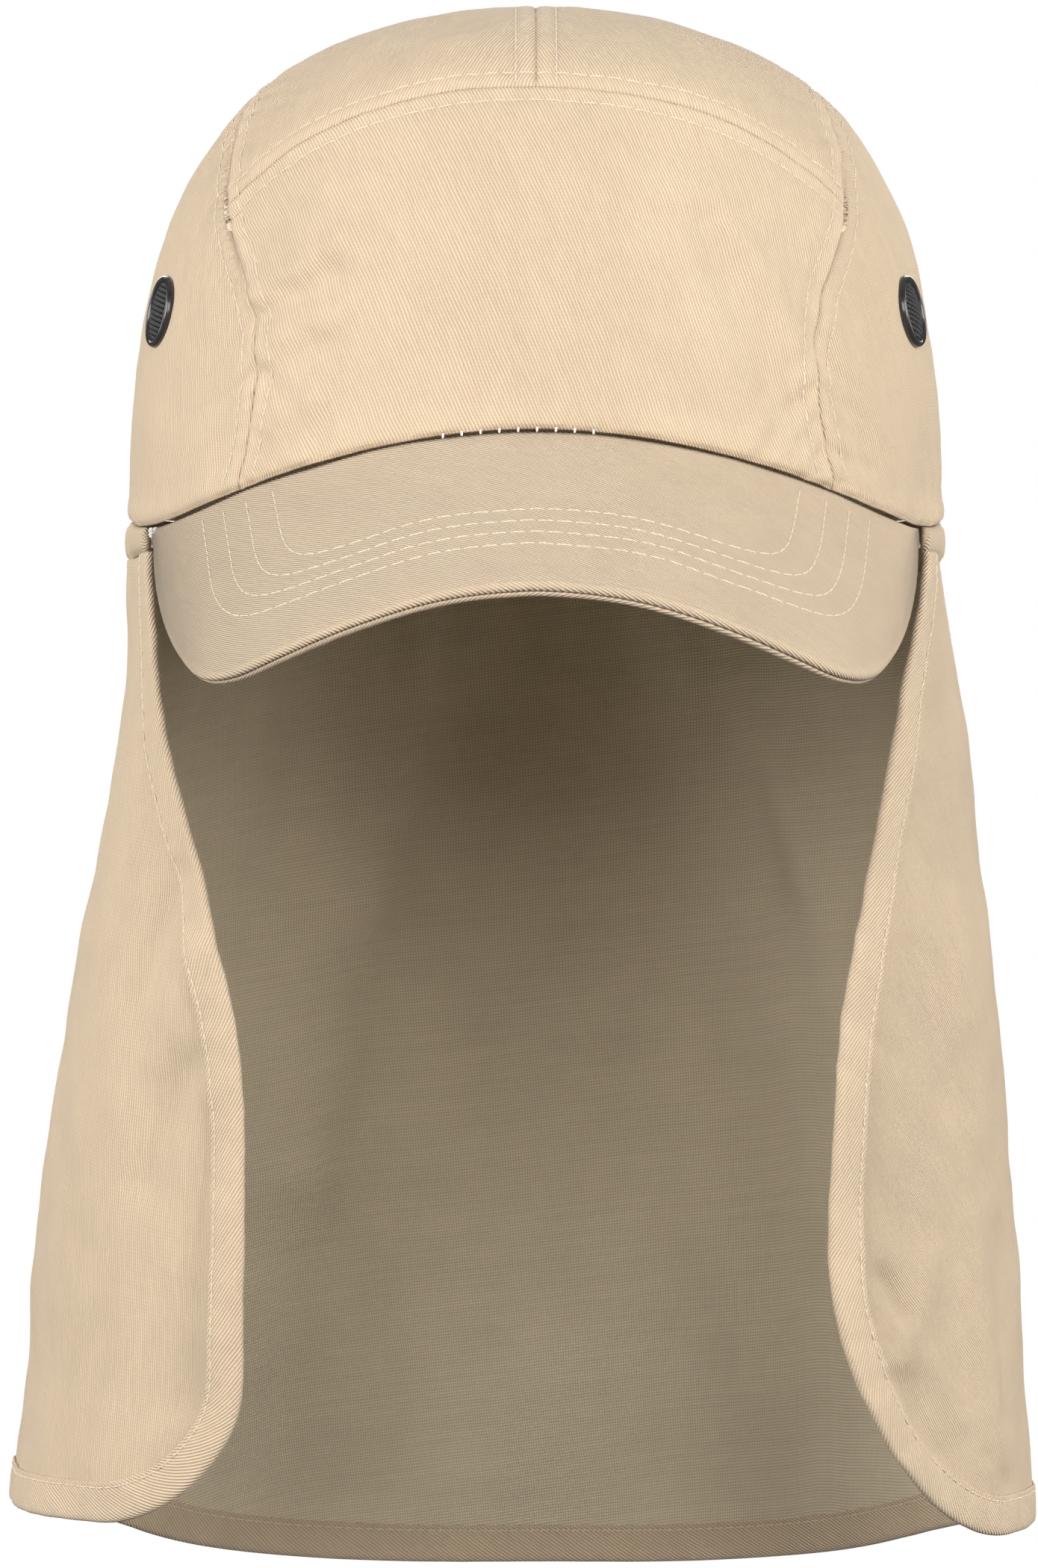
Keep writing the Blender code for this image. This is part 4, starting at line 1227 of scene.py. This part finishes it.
def blend_patch(u, v, bottom, top, left, right):
    """Coons patch: the surface between four edge curves."""

    def along(curve, t):
        at = t * (len(curve) - 1)
        i = np.clip(at.astype(int), 0, len(curve) - 2)
        share = (at - i)[:, None]
        return curve[i] * (1 - share) + curve[i + 1] * share

    uu, vv = u[:, None], v[:, None]
    ruled = along(bottom, u) * (1 - vv) + along(top, u) * vv
    ruled += along(left, v) * (1 - uu) + along(right, v) * uu
    corners = (1 - uu) * ((1 - vv) * bottom[0] + vv * top[0]) + uu * ((1 - vv) * bottom[-1] + vv * top[-1])
    return ruled - corners


def build_side(side, name):
    rear = rear_foot()

    def seam(start, stop):
        angles = np.linspace(start, stop, 400)
        return strip_point(side * seam_half_width(angles), angles)

    front = seam(front_foot(), TOP_SEAM_ANGLE)
    top = seam(TOP_SEAM_ANGLE, REAR_CORNER_ANGLE)
    back = seam(REAR_CORNER_ANGLE, rear)[::-1]
    feet = [section_turn(*foot[:2], BAND_HALF_WIDTH, BAND_HALF_LENGTH) for foot in (front[0], back[0])]
    rim = evenly(rim_point(np.linspace(*feet, 2000)), 0.0005)

    def place(u, v):
        return crown_cloth(on_crown(blend_patch(u, v, rim, top, front, back)))

    crown_panel(f"crown_side_{name}", f"side_panel_{name}", f"Side twill {name}", SIDE_GRID, place)


def peak_row(row):
    """One row of stitching on the peak: shares of the bend, and reaches."""
    power = 7.0
    angle = np.linspace(-math.pi / 2, math.pi / 2, 20001)
    wide = signed_power(np.sin(angle), 2 / power)
    out = np.cos(angle) ** (2 / power)
    across = row["side"] * wide * (1 - 0.09 * out)
    shares, reaches = peak_outline(np.linspace(0, 1, 200))
    front = np.interp(np.abs(across), shares, reaches) - row["inside"]
    reach = 0.003 + (front - 0.003) * out
    far = walked(np.stack([across * PEAK_HALF_WIDTH, reach], -1))
    at = np.linspace(0, far[-1], 500)
    return np.interp(at, far, across), np.interp(at, far, reach)


def peak_lines(below):
    return [peak_sheet(*peak_row(row), np.full(500, below)) for row in PEAK_ROWS]


PEAK_LINES = peak_lines(0.0)
PEAK_EDGE_LINE = peak_sheet(*peak_outline(np.linspace(-1, 1, 900)), np.zeros(900))


def peak_cloth(across, reach, under):
    """The covered peak's outer faces. Under is 0 for the top and 1 for the underside."""
    plain = peak_sheet(across, reach, np.zeros_like(across))
    from_edge, along = near_line(plain, PEAK_EDGE_LINE)
    share = np.clip(1 - from_edge / PEAK_LIP, 0.0, 1.0)
    turned = PEAK_LIP * (1 - np.sqrt(1 - share * share))
    relief = uneven(plain, PEAK_UNEVEN, under)
    relief -= LIP_SINK * np.exp(-(((from_edge - LIP_SEAM) / 0.0008) ** 2))
    relief += 0.00004 * np.exp(-from_edge / 0.004) * pinches(along, 0.006, 91)
    wear = np.exp(-(((from_edge - 0.0008) / 0.0012) ** 2))
    for number, line in enumerate(PEAK_LINES):
        distance, place = near_line(plain, line)
        relief -= PEAK_ROW_SINK * np.exp(-((distance / ROW_HALF) ** 2))
        relief += 0.00002 * np.exp(-distance / 0.003) * pinches(place, 0.0045, 95 + number)
    depth = turned - relief * (1 - share)
    if under:
        depth = 2 * PEAK_LEAF + 0.0003 - depth
    return peak_sheet(across, reach, depth), wear


def build_peak():
    across = clustered(*PEAK_GRID[0])
    up = clustered(*PEAK_GRID[1], both=False)
    for under, name, node in ((0, "peak_top", "peak_upper"), (1, "peak_underside", "peak_under")):

        def place(u, v):
            shares, reaches = peak_outline(2 * u - 1)
            return peak_cloth(shares, reaches * v, under)

        inside = (0, -0.13, 0.10) if under else (0, -0.13, -0.10)
        obj = cloth_grid(name, across, up, place, PEAK_LEAF * 0.6, (material("Peak twill painted darker"),), inside)
        dress(obj, node, slot="peak_twill")


def build_band():
    turns = np.linspace(-band_end(), band_end(), BAND_STEPS)
    x, y = band_point(turns)
    out = unit(np.stack([x, y], -1))
    share = band_share(turns)
    height = BAND_END_HEIGHT + (BAND_HEIGHT - BAND_END_HEIGHT) * share
    top = rim_height(turns) - RIM_CLEARANCE
    wave = gather_wave(turns)
    fine = 0.00025 * share * pinches(turns * HALF_LENGTH, 0.0045, 61)
    profile = []
    for step in np.linspace(0, math.pi, BAND_ROUND):
        full = np.sin(step) ** 0.55
        rows = sum(0.00030 * math.exp(-(((step - row) / 0.16) ** 2)) for row in BAND_ROWS)
        crest = GATHER_DEPTH * (wave + 0.5 * wave * np.abs(wave))
        away = -INSIDE_WALL + (BAND_THICKNESS + crest + fine) * full - rows
        down = (0.5 - 0.5 * math.cos(step)) * (height + 0.0012) - 0.0003
        profile.append(np.stack([x + out[:, 0] * away, y + out[:, 1] * away, top - down], -1))
    sections = np.stack(profile, 1)
    far = walked(np.stack([x, y, top], -1))
    flat = np.stack(np.broadcast_arrays(far[:, None], np.linspace(0, 0.014, BAND_ROUND)[None, :]), -1)
    obj = loft("rear_band", sections, material("Band twill"), flat)
    dress(obj, "elastic_band", slot="crown_twill")


def build_flap():
    shares = flap_shares(FLAP_CORNER_STEPS, FLAP_BODY_STEPS)
    across = np.linspace(0, 1, len(shares))
    up = np.linspace(0, 1, FLAP_ROWS) ** FLAP_ROW_SPREAD

    def place(u, v):
        share = np.interp(u, across, shares)
        turn, z = flap_at(share, v)
        points = flap_cloth(turn, z)
        return points, np.zeros(len(points))

    cloths = (material("Flap twill"), material("Reverse"))
    obj = cloth_grid("flap", across, up, place, FLAP_CLOTH, cloths, (0, 0.02, -0.12), 0.0, fan=True)
    return dress(obj, "neck_flap", slot="flap_twill")


def binding_frames():
    """Points along the flap's edge, with the cloth's normals and the way in from the edge."""
    turns, heights = flap_border_line(0.0009)
    edge = flap_cloth(turns, heights)
    normals = flap_normal(turns, heights)
    tangents = unit(np.gradient(flap_point(turns, heights), axis=0))
    inward = unit(np.cross(tangents, normals))
    return edge, normals, inward


def on_flap(points):
    """Points near the flap moved onto its cloth, and its normals there."""
    turns = nearest_on_flap(points)
    return flap_cloth(turns, points[:, 2]), flap_normal(turns, points[:, 2])


# Half of the binding's section, from the folded end of a leaf to the flap's edge: how far in from the
# edge, and how far out from the middle of the flap, in millimetres.
BINDING_PROFILE = (
    (7.70, 0.45),
    (7.86, 0.75),
    (7.72, 0.98),
    (7.40, 1.04),
    (6.95, 1.00),
    (6.60, 0.93),
    (6.25, 1.00),
    (5.60, 1.07),
    (4.20, 1.10),
    (2.70, 1.12),
    (1.50, 1.12),
    (0.50, 1.06),
    (-0.20, 0.88),
    (-0.62, 0.50),
)


def sew(name, runs, pitch):
    """Stitches of the sewing thread along runs."""
    stitch = bpy.context.scene.cap_stitch
    return dress(stitches(name, runs, material("Thread"), pitch, pitch * stitch.shown, stitch.diameter))


def build_binding():
    edge, normals, inward = binding_frames()
    far = walked(edge)
    section = [*BINDING_PROFILE, (-0.80, 0.0)] + [(inner, -high) for inner, high in BINDING_PROFILE[::-1]]
    section += [(5.0, -0.42), (2.5, -0.42), (0.4, -0.3), (0.4, 0.3), (2.5, 0.42), (5.0, 0.42)]
    rows, flat = [], []
    run = 0.0
    previous = section[0]
    for inner, high in section:
        if inner > 0.3:
            base, normal = on_flap(edge + inward * (inner / 1000))
        else:
            base, normal = edge + inward * (inner / 1000), normals
        ripple = 0.00005 * pinches(far + 0.5 * inner / 1000, 0.0048, 83) * max(0.0, min(1.0, inner / 7))
        lift = high / 1000 + math.copysign(1, high) * ripple * (abs(high) > 0.6)
        rows.append(base + normal * lift[:, None])
        run += math.hypot(inner - previous[0], high - previous[1]) / 1000
        previous = (inner, high)
        flat.append(np.stack([np.full(len(far), run), far], -1))
    obj = loft("edge_binding", np.stack(rows, 1), material("Binding twill"), np.stack(flat, 1))
    dress(obj, "flap_binding", slot="binding_twill")
    base, normal = on_flap(edge + inward * BINDING_ROW)
    runs = [(base + normal * (sign * 0.00096), normal * sign) for sign in (1, -1)]
    return obj, sew("binding_stitches", runs, bpy.context.scene.cap_stitch.binding_pitch)


def crown_rows():
    """Topstitching each side of the crown's seams, as lines on the plain outer face."""
    rows = []
    for name, line in SEAMS.items():
        if name == "rim":
            continue
        across = unit(np.cross(unit(np.gradient(line, axis=0)), crown_normal(line)))
        for sign in (-1, 1):
            row = on_crown(line + across * (sign * ROW_OFFSET))
            # It turns each corner without a loop, and ends short of the rim.
            row = row[near_line(row, line)[0] > 0.96 * ROW_OFFSET]
            turn = section_turn(row[:, 0], row[:, 1], BAND_HALF_WIDTH, BAND_HALF_LENGTH)
            rows.append(row[row[:, 2] > rim_height(turn) + 0.0012])
    return rows


def build_crown_stitches():
    runs = [(crown_cloth(row)[0], crown_normal(row)) for row in crown_rows()]
    sew("crown_stitches", runs, bpy.context.scene.cap_stitch.pitch)


def build_peak_stitches():
    runs = []
    for row in PEAK_ROWS:
        across, reach = peak_row(row)
        for under in (0, 1):
            line = peak_cloth(across, reach, under)[0]
            high = peak_sheet(across, reach, np.full_like(across, -0.001))
            normal = unit(high - peak_sheet(across, reach, np.zeros_like(across)))
            runs.append((line, -normal if under else normal))
    sew("peak_stitches", runs, bpy.context.scene.cap_stitch.pitch)


TACKS = 9
TACK_SPACING = 0.0039
TACK_FROM = -0.0194  # of the first tack stitch, from the centre line
TACK_STITCH = (0.0012, 0.0011, 0.0005)  # pitch, length and diameter
TUFT_THREADS = 7
TUFT_STITCH = (0.00098, 0.00098, 0.00045)


def build_tacks():
    """Nine short white stitches that catch the crown to the peak."""
    runs = []
    for number in range(TACKS):
        x = np.full(2, TACK_FROM + number * TACK_SPACING)
        turn_up = rim_turn_up(x[:1], front=True)
        foot = strip_point(x[:1], turn_up)[0]
        line = np.stack([foot + (0, -0.0008, -0.0007), foot + (0.0001, -0.0006, 0.0005)])
        runs.append((line, np.tile([0.0, -1.0, 0.15], (2, 1))))
    dress(stitches("tack_stitches", runs, material("White thread"), *TACK_STITCH))


def build_tuft():
    """The white bar tack that fastens the peak's left end."""
    corner = peak_sheet(np.array([-0.985]), np.array([0.0015]), np.array([0.0]))[0]
    runs = []
    for number in range(TUFT_THREADS):
        drop = np.array([0.00008 * (-1) ** number, -0.0008, 0.0006 - 0.00040 * number])
        wide = 0.0012 - 0.00006 * number
        line = np.stack([corner + drop - (wide, 0, 0.0002), corner + drop + (wide, -0.0001, 0.0002)])
        runs.append((line, np.tile([-0.3, -1.0, 0.2], (2, 1))))
    dress(stitches("peak_bar_tack", runs, material("White thread"), *TUFT_STITCH))


def vent_matrix(side):
    """Where a vent sits on the crown, with its own Z along the crown's outward normal."""
    guess = np.array([side * HALF_WIDTH, -VENT_FORWARD, VENT_HEIGHT])
    for _ in range(12):
        guess[0] = guess[0] / float(crown_share(guess)) ** 1.5
    point = on_crown(guess[None, :])[0]
    turned = Vector(crown_normal(point[None, :])[0]).to_track_quat("Z", "Y").to_matrix().to_4x4()
    return Matrix.Translation(Vector(point)) @ turned


VENT_PROFILE = (
    (0.0064, -0.0030),
    (0.0064, 0.0003),
    (0.0065, 0.0008),
    (0.0068, 0.0012),
    (0.0071, 0.00135),
    (0.00745, 0.00125),
    (0.0077, 0.0009),
    (0.00785, 0.0004),
    (0.00785, -0.0002),
    (0.0074, -0.0006),
    (0.0070, -0.0030),
)


def build_vents():
    settings = bpy.context.scene.cap_vent
    for side, name in ((-1, "left"), (1, "right")):
        place = vent_matrix(side)
        angles = np.linspace(0, 2 * math.pi, VENT_STEPS, endpoint=False)
        rings = np.array([[(r * math.cos(a), r * math.sin(a), h) for r, h in VENT_PROFILE] for a in angles])
        rings = np.concatenate([rings, rings[:1]])
        obj = loft(f"vent_rim_{name}", rings, material("Black lacquer"), closed_ends=False)
        face_outward(obj.data, merge=1e-6)
        obj.data.transform(place)
        dress(obj, f"vent_ring_{name}", slot="vent_metal")
        net = wire_net(f"vent_net_{name}", settings)
        net.data.transform(place)
        dress(net, f"vent_mesh_{name}", slot="vent_net")


def wire_net(name, settings):
    """Woven wires over a shallow dome, with a dark disc behind them: painted shade that stands for the
    shaded hole through the crown.
    """
    reach = VENT_MOUTH - 0.0001
    pitch = settings.net_pitch
    count = int(2 * reach / pitch)
    cosine, sine = math.cos(NET_TURN), math.sin(NET_TURN)
    verts, faces = [], []
    for family in (0, 1):
        for k in range(count):
            offset = (k - (count - 1) / 2) * pitch
            half = math.sqrt(max(reach**2 - offset**2, 0.0))
            steps = max(4, int(2 * half / (pitch / 4)))
            along = np.linspace(-half, half, steps)
            dome = NET_DOME * (1 - (along**2 + offset**2) / reach**2)
            over = np.cos(math.pi * along / pitch + math.pi * (k + family)) * settings.wire * 0.45
            base = len(verts)
            for a, d, o in zip(along, dome, over):
                for s in range(WIRE_SIDES):
                    turn = 2 * math.pi * s / WIRE_SIDES
                    wide = math.cos(turn) * settings.wire / 2
                    high = math.sin(turn) * settings.wire / 2 + d + o
                    x, y = (offset + wide, a) if family else (a, offset + wide)
                    verts.append((x * cosine - y * sine, x * sine + y * cosine, high + NET_LIFT))
            for j in range(steps - 1):
                for s in range(WIRE_SIDES):
                    t = (s + 1) % WIRE_SIDES
                    a, b = base + j * WIRE_SIDES, base + (j + 1) * WIRE_SIDES
                    faces.append((a + s, a + t, b + t, b + s) if family else (a + t, a + s, b + s, b + t))
            faces.append(tuple(base + s for s in range(WIRE_SIDES)))
            faces.append(tuple(base + (steps - 1) * WIRE_SIDES + s for s in range(WIRE_SIDES)))
    # The disc is painted shade: a dark sheet where the hole behind the net would lie in shade.
    base = len(verts)
    for ring in range(DISC_RINGS):
        r = reach * (ring + 1) / DISC_RINGS
        for s in range(DISC_SIDES):
            turn = 2 * math.pi * s / DISC_SIDES
            high = NET_DOME * (1 - (r / reach) ** 2) + 0.0001
            verts.append((r * math.cos(turn), r * math.sin(turn), high))
    for ring in range(DISC_RINGS - 1):
        for s in range(DISC_SIDES):
            t = (s + 1) % DISC_SIDES
            a, b = base + ring * DISC_SIDES, base + (ring + 1) * DISC_SIDES
            faces.append((a + s, b + s, b + t, a + t))
    faces.append(tuple(base + s for s in range(DISC_SIDES)))
    mesh = bpy.data.meshes.new(name)
    mesh.from_pydata(verts, [], faces)
    mesh.materials.append(material("Black wire"))
    face_outward(mesh)
    mesh.shade_smooth()
    return new_object(name, mesh)


# Stage


def area_light(name, place, aim, size, power):
    data = bpy.data.lights.new(name, "AREA")
    data.shape = "RECTANGLE"
    data.size, data.size_y = size
    data.energy = power
    light = new_object(name, data)
    light.location = place
    light.rotation_euler = (Vector(aim) - Vector(place)).to_track_quat("-Z", "Y").to_euler()


KEY_BALANCE = 1.02  # power of the right key light over the left one's


def build_stage():
    settings = bpy.context.scene.cap_stage
    scene = bpy.context.scene
    scene.view_settings.view_transform = "Standard"
    deselect()
    bpy.ops.mesh.primitive_plane_add(size=12, location=(0, 0, settings.floor))
    floor = bpy.context.object
    floor.name = floor.data.name = "studio_floor"
    n, shader = new_material("Studio floor")
    shader.inputs["Roughness"].default_value = 0.9
    shader.inputs["Base Color"].default_value = (0.12, 0.12, 0.12, 1.0)
    white = n.add("ShaderNodeEmission")
    blend = n.add("ShaderNodeMixShader")
    n.feed(blend.inputs[0], n.add("ShaderNodeLightPath").outputs["Is Camera Ray"])
    n.feed(blend.inputs[1], shader.outputs[0])
    n.feed(blend.inputs[2], white.outputs[0])
    n.feed(n.tree.nodes["Material Output"].inputs["Surface"], blend.outputs[0])
    floor.data.materials.append(bpy.data.materials["Studio floor"])
    floor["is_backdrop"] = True

    world = bpy.data.worlds.new("Studio")
    world.use_nodes = True
    scene.world = world
    n = Nodes(world.node_tree)
    sky = world.node_tree.nodes["Background"]
    sky.inputs["Color"].default_value = (1, 1, 1, 1)
    seen = n.add("ShaderNodeLightPath").outputs["Is Camera Ray"]
    n.feed(sky.inputs["Strength"], n.math("MULTIPLY_ADD", seen, 1.0 - settings.sky, settings.sky))

    middle = (0, 0, -0.05)
    for name, place, size, power in (
        ("Front", (0.0, -1.70, 0.52), (1.0, 0.8), settings.front),
        ("Key left", (-1.3, -1.25, 0.45), (0.7, 1.2), settings.key),
        ("Key right", (1.3, -1.25, 0.45), (0.7, 1.2), settings.key * KEY_BALANCE),
        ("Overhead", (0, 0.1, 1.6), (1.6, 1.6), settings.overhead),
        ("Left wall", (-1.6, 0.1, 0.2), (0.9, 1.6), settings.walls),
        ("Right wall", (1.6, 0.1, 0.2), (0.9, 1.6), settings.walls),
        ("Behind", (0, 1.8, 0.8), (1.6, 1.0), settings.walls),
    ):
        area_light(name, place, middle, size, power)

    data = bpy.data.cameras.new("Camera")
    data.lens = settings.lens
    data.sensor_width = 36.0
    data.clip_start = 0.1
    data.clip_end = 100.0
    camera = new_object("Camera", data)
    camera.location = (-0.0036, -settings.distance, -0.0533)
    camera.rotation_euler = (math.pi / 2, 0, 0)
    scene.camera = camera


# Add-on


def colour(name, description, default):
    return FloatVectorProperty(
        name=name, description=description, subtype="COLOR", default=default, min=0.0, max=1.0
    )


def share(name, description, default, low=0.0):
    return FloatProperty(
        name=name, description=description, default=default, min=low, max=1.0, subtype="FACTOR"
    )


def small_length(name, description, default, low, high):
    return FloatProperty(
        name=name, description=description, default=default, min=low, max=high, precision=5, unit="LENGTH"
    )


def power(name, description, default):
    return FloatProperty(name=name, description=description, default=default, min=0.0, unit="POWER")


class CapClothSettings(bpy.types.PropertyGroup):
    yarn: colour("Yarn", "Colour of the cloth's raised yarns", (0.700, 0.545, 0.375))
    # Partly the reverse face's own colour, partly painted light: it is set lighter than the yarn to brighten
    # the shaded inside.
    inside: colour("Inside", "Colour of the cloth's inner face", (0.86, 0.73, 0.52))
    # Painted shade in the hollows between the yarns, which are all of one colour.
    hollow: share("Hollows", "Brightness of the hollows between yarns, as a share of the yarn's", 0.64)
    # Painted shade: the peak is the crown's cloth, painted darker by this share.
    painted_peak_shade: share("Peak painted shade", "Brightness of the peak's cloth, as a share of the crown's", 0.86)
    pitch: small_length("Rib spacing", "Distance between two ribs of the twill", 0.00069, 0.0001, 0.01)
    depth: small_length("Weave depth", "Height of the yarns over the hollows", 0.00022, 0.0, 0.01)


class CapStitchSettings(bpy.types.PropertyGroup):
    pitch: small_length(
        "Stitch pitch", "Distance from one stitch to the next on the crown and peak", 0.0038, 0.0005, 0.02
    )
    binding_pitch: small_length(
        "Binding pitch", "Distance from one stitch to the next along the binding", 0.0024, 0.0005, 0.02
    )
    shown: share("Thread shown", "Share of the pitch over which thread shows", 0.88, 0.1)
    diameter: small_length("Thread diameter", "Diameter of the sewing thread", 0.00031, 0.0001, 0.002)
    colour: colour("Thread", "Colour of the sewing thread", (0.82, 0.71, 0.54))
    tack_colour: colour(
        "Tack thread", "Colour of the short stitches that catch the crown to the peak", (0.90, 0.88, 0.84)
    )


class CapVentSettings(bpy.types.PropertyGroup):
    net_pitch: small_length("Net pitch", "Distance between two wires of the net", 0.00075, 0.0002, 0.005)
    wire: small_length("Wire", "Diameter of the net's wires", 0.00046, 0.0001, 0.002)


class CapStageSettings(bpy.types.PropertyGroup):
    floor: FloatProperty(
        name="Floor height", description="Height of the studio floor", default=-0.30, unit="LENGTH"
    )
    sky: FloatProperty(
        name="Surroundings", description="Brightness of the pale surroundings", default=0.06, min=0.0
    )
    front: power("Front light", "Power of the light that reaches in under the peak", 14.5)
    key: power("Key lights", "Power of each main light", 27.0)
    overhead: power("Overhead light", "Power of the light over the cap", 2.5)
    walls: power("Side lights", "Power of each light beside and behind the cap", 18.0)
    lens: FloatProperty(name="Lens", description="Focal length in millimetres", default=188.5, min=1.0)
    distance: FloatProperty(
        name="Camera distance",
        description="From the camera to the middle of the rim",
        default=1.8,
        min=0.1,
        unit="LENGTH",
    )


class CAP_OT_crown(bpy.types.Operator):
    """Build the crown's five sewn panels"""

    bl_idname = "cap.crown"
    bl_label = "Crown"

    def execute(self, context):
        build_front()
        for side, name in ((-1, "left"), (1, "right")):
            build_top(side, name)
            build_side(side, name)
        return {"FINISHED"}


class CAP_OT_peak(bpy.types.Operator):
    """Build the peak's two covered halves"""

    bl_idname = "cap.peak"
    bl_label = "Peak"

    def execute(self, context):
        build_peak()
        return {"FINISHED"}


class CAP_OT_band(bpy.types.Operator):
    """Build the gathered band round the back of the rim"""

    bl_idname = "cap.band"
    bl_label = "Rear band"

    def execute(self, context):
        build_band()
        return {"FINISHED"}


class CAP_OT_flap(bpy.types.Operator):
    """Build the neck flap, its folded binding and the binding's stitches"""

    bl_idname = "cap.flap"
    bl_label = "Neck flap"

    def execute(self, context):
        flap = build_flap()
        binding, thread = build_binding()
        return {"FINISHED"}


class CAP_OT_stitching(bpy.types.Operator):
    """Sew the crown's and the peak's rows, and the white tack stitches between them"""

    bl_idname = "cap.stitching"
    bl_label = "Stitching"

    def execute(self, context):
        build_crown_stitches()
        build_peak_stitches()
        build_tacks()
        build_tuft()
        return {"FINISHED"}


class CAP_OT_vents(bpy.types.Operator):
    """Build the two black vents with their woven nets"""

    bl_idname = "cap.vents"
    bl_label = "Vents"

    def execute(self, context):
        build_vents()
        return {"FINISHED"}


class CAP_OT_stage(bpy.types.Operator):
    """Set the studio floor, the soft lights and the camera"""

    bl_idname = "cap.stage"
    bl_label = "Studio"

    def execute(self, context):
        build_stage()
        return {"FINISHED"}


OPERATORS = (
    CAP_OT_stage,
    CAP_OT_crown,
    CAP_OT_peak,
    CAP_OT_band,
    CAP_OT_flap,
    CAP_OT_stitching,
    CAP_OT_vents,
)
SETTINGS = {
    "cap_cloth": CapClothSettings,
    "cap_stitch": CapStitchSettings,
    "cap_vent": CapVentSettings,
    "cap_stage": CapStageSettings,
}


class CAP_PT_panel(bpy.types.Panel):
    """Sizes, colours and pieces of the cap"""

    bl_idname = "CAP_PT_panel"
    bl_label = "Legionnaire cap"
    bl_space_type = "VIEW_3D"
    bl_region_type = "UI"
    bl_category = "Cap"

    def draw(self, context):
        for name in SETTINGS:
            group = getattr(context.scene, name)
            box = self.layout.box()
            for setting in group.__annotations__:
                box.prop(group, setting)
        for made in OPERATORS:
            self.layout.operator(made.bl_idname)


def register():
    for made in (*SETTINGS.values(), *OPERATORS, CAP_PT_panel):
        bpy.utils.register_class(made)
    for name, made in SETTINGS.items():
        setattr(bpy.types.Scene, name, PointerProperty(type=made))


def unregister():
    for name in SETTINGS:
        delattr(bpy.types.Scene, name)
    for made in reversed((*SETTINGS.values(), *OPERATORS, CAP_PT_panel)):
        bpy.utils.unregister_class(made)


def main():
    register()
    bpy.ops.cap.stage()
    bpy.ops.cap.crown()
    bpy.ops.cap.peak()
    bpy.ops.cap.band()
    bpy.ops.cap.flap()
    bpy.ops.cap.stitching()
    bpy.ops.cap.vents()
    boxes = {"cad": CAD_BOX, "visual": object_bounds()}
    boxes = {name: [list(corner) for corner in box] for name, box in boxes.items()}


if __name__ == "__main__":
    main()
